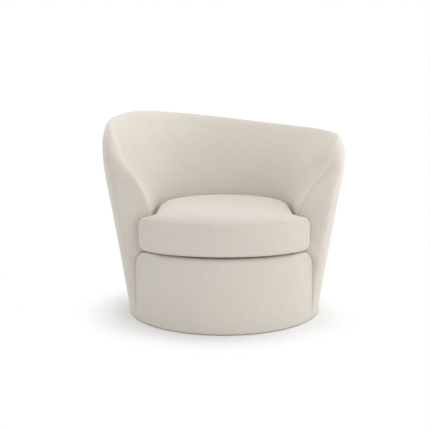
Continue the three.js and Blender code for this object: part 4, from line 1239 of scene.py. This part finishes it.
@dataclass
class Framework:
    """The unseen wood and metal of the chair, each node in its own finish."""

    ribs: int = 7
    springs: int = 5
    fasteners: int = 4

    def finishes(self) -> list[tuple[bpy.types.Material, list[str]]]:
        """Return each finish with the nodes that have it."""
        ribs = [f"rib_{i + 1}" for i in range(self.ribs)]
        clips = [f"{end}_clip_{i + 1}" for end in ("front", "back") for i in range(self.springs)]
        springs = [f"seat_spring_{i + 1}" for i in range(self.springs)]
        screws = [f"plinth_screw_{i + 1}" for i in range(self.fasteners)]
        bolts = [f"board_bolt_{i + 1}" for i in range(self.fasteners)]
        plates = ["lower_swivel_plate", "upper_swivel_plate", "ball_cage"]
        level = Plywood("plywood_level", PlyAxis.UP).build()
        upright = Plywood("plywood_upright", PlyAxis.DEPTH).build()
        bent = Plywood("plywood_bent", PlyAxis.OUTWARD).build()
        rib = Plywood("plywood_rib", PlyAxis.ROUND).build()
        return [
            (level, ["plinth", "base_board"]),
            (upright, ["arm_board_left", "arm_board_right"]),
            (bent, ["front_panel", "front_rail", "back_rail", "top_rail"]),
            (bent, ["side_rail_left", "side_rail_right"]),
            (rib, ribs),
            (ZincSteel().build(), plates + screws + bolts + clips),
            (SpringSteel().build(), springs),
            (FibreCloth("felt", relief=(0.4, 0.0010)).build(), ["floor_pad"]),
        ]

    def build(self) -> None:
        """Give every carried-over node its finish."""
        for finish, names in self.finishes():
            for name in names:
                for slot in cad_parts[name].material_slots:
                    slot.material = finish
                LOG.info("%s: %s", name, finish.name)


@dataclass
class SeatCushion:
    """The loose T cushion: two panels and a boxing joined by plain seams, full of soft filling."""

    material: bpy.types.Material
    form: ShellForm = FORM
    bottom: float = 0.2768
    side_gap: float = 0.003
    overhang: float = 0.010
    ear_back: float = -0.207
    ear_front: float = -0.236
    ear_tip: float = 0.319
    ear_round: float = 0.010
    notch_share: float = 0.6
    swell_room: float = 0.003
    edge_round: float = 0.011
    crown: float = 0.030
    crown_front: float = 0.140
    crown_edge: float = 0.018
    crown_wall: float = 0.120
    edge_share: float = 0.55
    ease: float = 0.003
    sag: float = 0.0018
    sag_reach: float = 0.020
    tip_round: float = 0.048
    tip_width: float = 0.067
    tip_round_low: float = 0.036
    top_inset: float = 0.0035
    low_inset: float = 0.0045
    front_clear: float = 0.001
    ear_clear: float = 0.012
    crown_power: float = 2.4
    front_start: float = 0.004
    crown_from: float = 0.022
    crown_band: float = 0.016
    hinge_drop: float = 0.050
    roof_middle: float = 0.010
    roof_fall: float = 0.016
    roof_rate: float = 4.0
    knee: float = 0.05
    sag_fade: float = 0.02
    voxel: float = 0.007
    pressure: float = 4.0
    stiffness: float = 12.0
    frames: int = 14
    cap: float = 0.006
    outline_points: int = 240
    arc_points: int = 60
    seam_dip: float = 0.0009
    seam_reach: float = 0.0035

    @property
    def front_arc(self) -> Pair:
        """Return the middle and the radius of the front edge, a little flatter than the drum."""
        front = self.form.drum_radius + self.overhang - self.swell_room
        tip = self.ear_tip - self.swell_room
        depth = front + self.ear_front
        radius = (tip * tip + depth * depth) / (2 * depth)
        return radius - front, radius

    def corners(self) -> list[Vector]:
        """Return the plan outline's points, from the left notch round the back."""
        half = self.form.well_half_width - self.side_gap - self.swell_room
        front_centre, front = self.front_arc
        start = math.degrees(math.atan2(half, self.ear_back))
        centre = self.form.well_centre
        shares = [i / self.arc_points for i in range(self.arc_points + 1)]
        points = []
        for share in shares:
            angle = mix(-start, start, share)
            radius = centre * cosd(angle) + math.sqrt(half * half - (centre * sind(angle)) ** 2)
            if radius * cosd(angle) < centre:
                radius = half / abs(sind(angle))
            points.append(polar(angle, radius, 0))
        tip = self.ear_tip - self.swell_room
        middle = (self.ear_back + self.ear_front) / 2
        inset = self.ear_round * self.notch_share
        arc = math.degrees(math.asin((tip - self.ear_round * (1 - self.notch_share)) / front))
        points += [Vector((tip - inset, self.ear_back, 0)), Vector((tip, middle, 0))]
        for share in shares:
            point = polar(180 + mix(-arc, arc, share), front, 0)
            points.append(point + Vector((0, front_centre, 0)))
        return points + [Vector((-tip, middle, 0)), Vector((inset - tip, self.ear_back, 0))]

    def outline(self) -> list[Vector]:
        """Return evenly spaced points on the plan outline."""
        points = self.corners()
        closed = points + points[:1]
        lengths = [0.0]
        for here, there in zip(closed, closed[1:]):
            lengths.append(lengths[-1] + (there - here).length)
        made = []
        for i in range(self.outline_points):
            want = lengths[-1] * i / self.outline_points
            j = max(k for k in range(len(points)) if lengths[k] <= want)
            step = (want - lengths[j]) / (lengths[j + 1] - lengths[j])
            made.append(closed[j].lerp(closed[j + 1], step))
        return made

    def block(self) -> bpy.types.Object:
        """Make the plain block of filling, with its edges rounded."""
        made = new_mesh("seat_cushion_soft")
        bm = bmesh.new()
        outline = self.outline()
        ring = bmesh.ops.create_circle(bm, cap_ends=True, radius=0.3, segments=len(outline))
        for vert, point in zip(ring["verts"], outline):
            vert.co = Vector((point.x, point.y, self.bottom))
        raised = bmesh.ops.extrude_face_region(bm, geom=list(bm.faces))
        lifted = [item for item in raised["geom"] if isinstance(item, bmesh.types.BMVert)]
        height = self.form.seat_seam - self.bottom
        bmesh.ops.translate(bm, verts=lifted, vec=Vector((0, 0, height)))
        bmesh.ops.recalc_face_normals(bm, faces=bm.faces)
        rims = [edge for edge in bm.edges if abs(edge.verts[0].co.z - edge.verts[1].co.z) < 1e-6]
        shape = {"offset": self.edge_round, "segments": 3, "profile": 0.5}
        bmesh.ops.bevel(bm, geom=rims, affect="EDGES", material=-1, **shape)
        finish_mesh(made, bm, self.material)
        return made

    def swell(self, made: bpy.types.Object) -> None:
        """Fill the cushion by a cloth simulation, held within its cap."""
        start = read_places(made)
        cloth = made.modifiers.new("filling", "CLOTH")
        cloth.settings.quality = 6
        cloth.settings.mass = 0.3
        cloth.settings.tension_stiffness = self.stiffness
        cloth.settings.compression_stiffness = self.stiffness
        cloth.settings.bending_stiffness = 0.6
        cloth.settings.use_pressure = True
        cloth.settings.uniform_pressure_force = self.pressure
        cloth.settings.effector_weights.gravity = 0
        cloth.collision_settings.use_collision = False
        scene = bpy.context.scene
        for step in range(1, self.frames + 1):
            scene.frame_set(step)
        keep_shown(made)
        scene.frame_set(1)
        moved = read_places(made) - start
        reach = np.linalg.norm(moved, axis=1)
        share = self.cap * np.tanh(reach / self.cap) / np.maximum(reach, 1e-9)
        LOG.info("cushion swelled %.1f mm at most", reach.max() * 1000)
        write_places(made, start + moved * share[:, None])

    def seam_sides(self, height: np.ndarray, edge_gap: np.ndarray) -> np.ndarray:
        """Return each vertex's signed distance from the nearer boxing seam."""
        inside = np.maximum(edge_gap - self.edge_round, 0)
        above = height - (self.form.seat_seam - self.top_inset)
        below = self.bottom + self.low_inset - height
        sides = [np.where(past > 0, np.hypot(past, inside), past) for past in (above, below)]
        return np.maximum(*sides)

    def rise(self, place: np.ndarray, outline: np.ndarray) -> np.ndarray:
        """Return each vertex's share of the crown, from its distances to the walls and front."""
        centre, front = self.front_arc
        reach = np.hypot(outline[:, 0], outline[:, 1] - centre)
        behind = (reach < front - self.front_clear) & (
            np.abs(outline[:, 0]) < self.ear_tip - self.ear_clear
        )
        wall_gap = nearest(place[:, :2], outline[behind])
        front_gap = np.clip(front - np.hypot(place[:, 0], place[:, 1] - centre), 0, None)
        edge = arch(wall_gap, self.crown_edge, self.crown_power)
        share = mix(arch(wall_gap, self.crown_wall, 2), edge, self.edge_share)
        return share * arch(front_gap + self.front_start, self.crown_front, self.crown_power)

    def settle(self, made: bpy.types.Object) -> np.ndarray:
        """Crown the top, round the ear tips and flatten the underside.

        Args:
            made: The filled cushion.

        Returns:
            Signed distance of each vertex from the nearer boxing seam.
        """
        place = read_places(made)
        outline = np.array([[point.x, point.y] for point in self.outline()])
        sides = self.seam_sides(place[:, 2], nearest(place[:, :2], outline))
        seam = self.form.seat_seam
        rise = self.crown * self.rise(place, outline)
        level = np.clip((place[:, 2] - seam + self.crown_from) / self.crown_band, 0, 1)
        crowned = place[:, 2] + rise * level
        tip = np.abs(place[:, 0]) - self.ear_tip
        hinge = seam - self.hinge_drop
        share = np.clip(tip / self.tip_width + 1, 0, 1)
        ceiling = self.roof_middle - self.roof_fall * np.clip(share * self.roof_rate, 0, 1)
        roof = seam + self.crown + ceiling - self.tip_round * quarter(share)
        local = seam + rise
        least = -self.ease * np.logaddexp(-local / self.ease, -roof / self.ease)
        squeeze = np.clip((least - hinge) / (local - hinge), 0, 1)
        place[:, 2] = np.where(crowned > hinge, hinge + (crowned - hinge) * squeeze, crowned)
        share = np.clip(tip / self.tip_round_low + 1, 0, 1)
        low = np.clip(1 - (place[:, 2] - self.bottom) / self.knee, 0, 1)
        lifted = place[:, 2] + self.tip_round_low * quarter(share) * low
        place[:, 2] = np.maximum(lifted, self.bottom)
        reach = np.hypot(place[:, 0], place[:, 1])
        over = np.clip((reach - self.form.drum_radius) / self.sag_reach + 1, 0, 1)
        over *= np.clip((self.ear_back - place[:, 1]) / self.sag_fade + 1, 0, 1)
        place[:, 2] -= self.sag * over * over * (3 - 2 * over) * low
        write_places(made, place)
        return sides

    def build(self) -> bpy.types.Object:
        """Make the cushion, fill it, sew its seams, which carry painted shade, and dress it."""
        made = self.block()
        remesh_evenly(made, self.voxel)
        self.swell(made)
        ease_wrinkles(made)
        gap = self.settle(made)
        mark_seams(made, gap)
        finer = made.modifiers.new("finer", "SUBSURF")
        finer.levels = finer.render_levels = 1
        keep_shown(made)
        layer = made.data.attributes[SEAM_GAP]
        gap = np.array([value.value for value in layer.data])
        made.data.attributes.remove(layer)
        sew(made, gap, self.seam_dip, self.seam_reach)
        lay_uv(made)
        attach(made, "cushion")
        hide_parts("seat_cushion")
        return made


def white_rays(tree: Wiring) -> Socket:
    """Return a socket that is 1 for the rays that see the studio as plain white."""
    path = tree.add("LightPath", {}).outputs
    direct = tree.maths("MAXIMUM", path["Is Camera Ray"], path["Is Glossy Ray"])
    return tree.maths("MAXIMUM", direct, path["Is Transmission Ray"])


LAMPS = (
    ("key", (1.7, -2.6, 1.3), 2.2, 13.0),
    ("right", (3.0, 0.3, 1.5), 2.4, 22.0),
    ("top_back", (0.0, 0.7, 3.4), 1.6, 24.0),
    ("back_right", (2.2, 2.2, 1.8), 2.0, 19.0),
    ("back_left", (-2.2, 2.2, 1.8), 2.0, 15.0),
)


@dataclass
class Studio:
    """Floor, lamps and camera."""

    camera_place: Vector = field(default_factory=lambda: Vector((0.0, -2.960, 0.844)))
    aim: Vector = field(default_factory=lambda: Vector((0.0, 0.0, 0.4)))
    camera_pitch: float = 9.12
    lens: float = 64.38
    shift: float = -0.0211
    floor_white: Triple = (0.93, 0.93, 0.93)
    floor_bounce: Triple = (0.86, 0.86, 0.86)
    floor_roughness: float = 0.9
    floor_half_width: float = 12.0
    sky: float = 0.80
    shadow_reach: Pair = (0.38, 0.60)

    def floor(self) -> None:
        """Make a pale floor that shows white to the camera and keeps the shadow."""
        tree = Tree("floor_white", self.floor_roughness)
        tree.join(tree.shader, {"Base Color": (*self.floor_bounce, 1)})
        near = tree.add("BsdfDiffuse", {"Color": (*self.floor_white, 1)}).outputs["BSDF"]
        far = tree.add("Emission", {"Color": WHITE}).outputs["Emission"]
        reach = tree.vector("LENGTH", tree.place["Object"]).outputs["Value"]
        fade = tree.fade(reach, *self.shadow_reach)
        seen = tree.add("MixShader", {"Fac": fade, 1: near, 2: far}).outputs["Shader"]
        plain = tree.shader.outputs["BSDF"]
        choose = tree.add("MixShader", {"Fac": white_rays(tree), 1: plain, 2: seen})
        tree.join(tree.nodes["Material Output"], {"Surface": choose.outputs["Shader"]})
        made = new_mesh("floor")
        bm = bmesh.new()
        bmesh.ops.create_grid(bm, x_segments=1, y_segments=1, size=self.floor_half_width)
        finish_mesh(made, bm, tree.made)

    def world(self) -> None:
        """Light the room evenly and show the backdrop as white."""
        world = bpy.data.worlds.new("studio")
        bpy.context.scene.world = world
        tree = Wiring(world)
        strength = tree.spread(white_rays(tree), self.sky, 1.0)
        tree.join(tree.nodes["Background"], {"Color": WHITE, "Strength": strength})

    def lamp(self, name: str, place: Vector, size: float, power: float) -> None:
        """Hang a soft square lamp of some side and wattage that looks at the chair."""
        data = bpy.data.lights.new(name, "AREA")
        data.size = size
        data.energy = power
        made = bpy.data.objects.new(name, data)
        made.location = place
        aim = self.aim - place
        made.rotation_euler = aim.to_track_quat("-Z", "Y").to_euler()
        bpy.context.scene.collection.objects.link(made)

    def camera(self) -> None:
        """Set the camera at the photograph's angle."""
        data = bpy.data.cameras.new("camera")
        data.lens = self.lens
        data.shift_x = self.shift
        made = bpy.data.objects.new("camera", data)
        made.location = self.camera_place
        made.rotation_euler = (math.radians(90 - self.camera_pitch), 0, 0)
        bpy.context.scene.collection.objects.link(made)
        bpy.context.scene.camera = made

    def build(self) -> None:
        """Set up the studio."""
        self.camera()
        self.floor()
        self.world()
        for name, place, size, power in LAMPS:
            self.lamp(name, Vector(place), size, power)
        bpy.context.scene.view_settings.view_transform = "Standard"


def main() -> None:
    """Dress the chair and set up the studio."""
    logging.basicConfig(level=logging.INFO)
    linen = Linen("linen").build()
    OutsideCloth(linen).build()
    InsideCloth(linen).build()
    FrontApron(linen).build()
    SeatCushion(linen).build()
    cotton = Linen(
        "deck_cotton",
        colour=(0.342, 0.296, 0.233),
        pale=(0.385, 0.338, 0.270),
        shade=(0.298, 0.255, 0.198),
        thread=0.0016,
    )
    DeckCloth(cotton.build()).build()
    DustCover(FibreCloth("dust_fabric", bond=420.0, relief=(0.4, 0.0003)).build()).build()
    Framework().build()
    Studio().build()


if __name__ == "__main__":
    main()
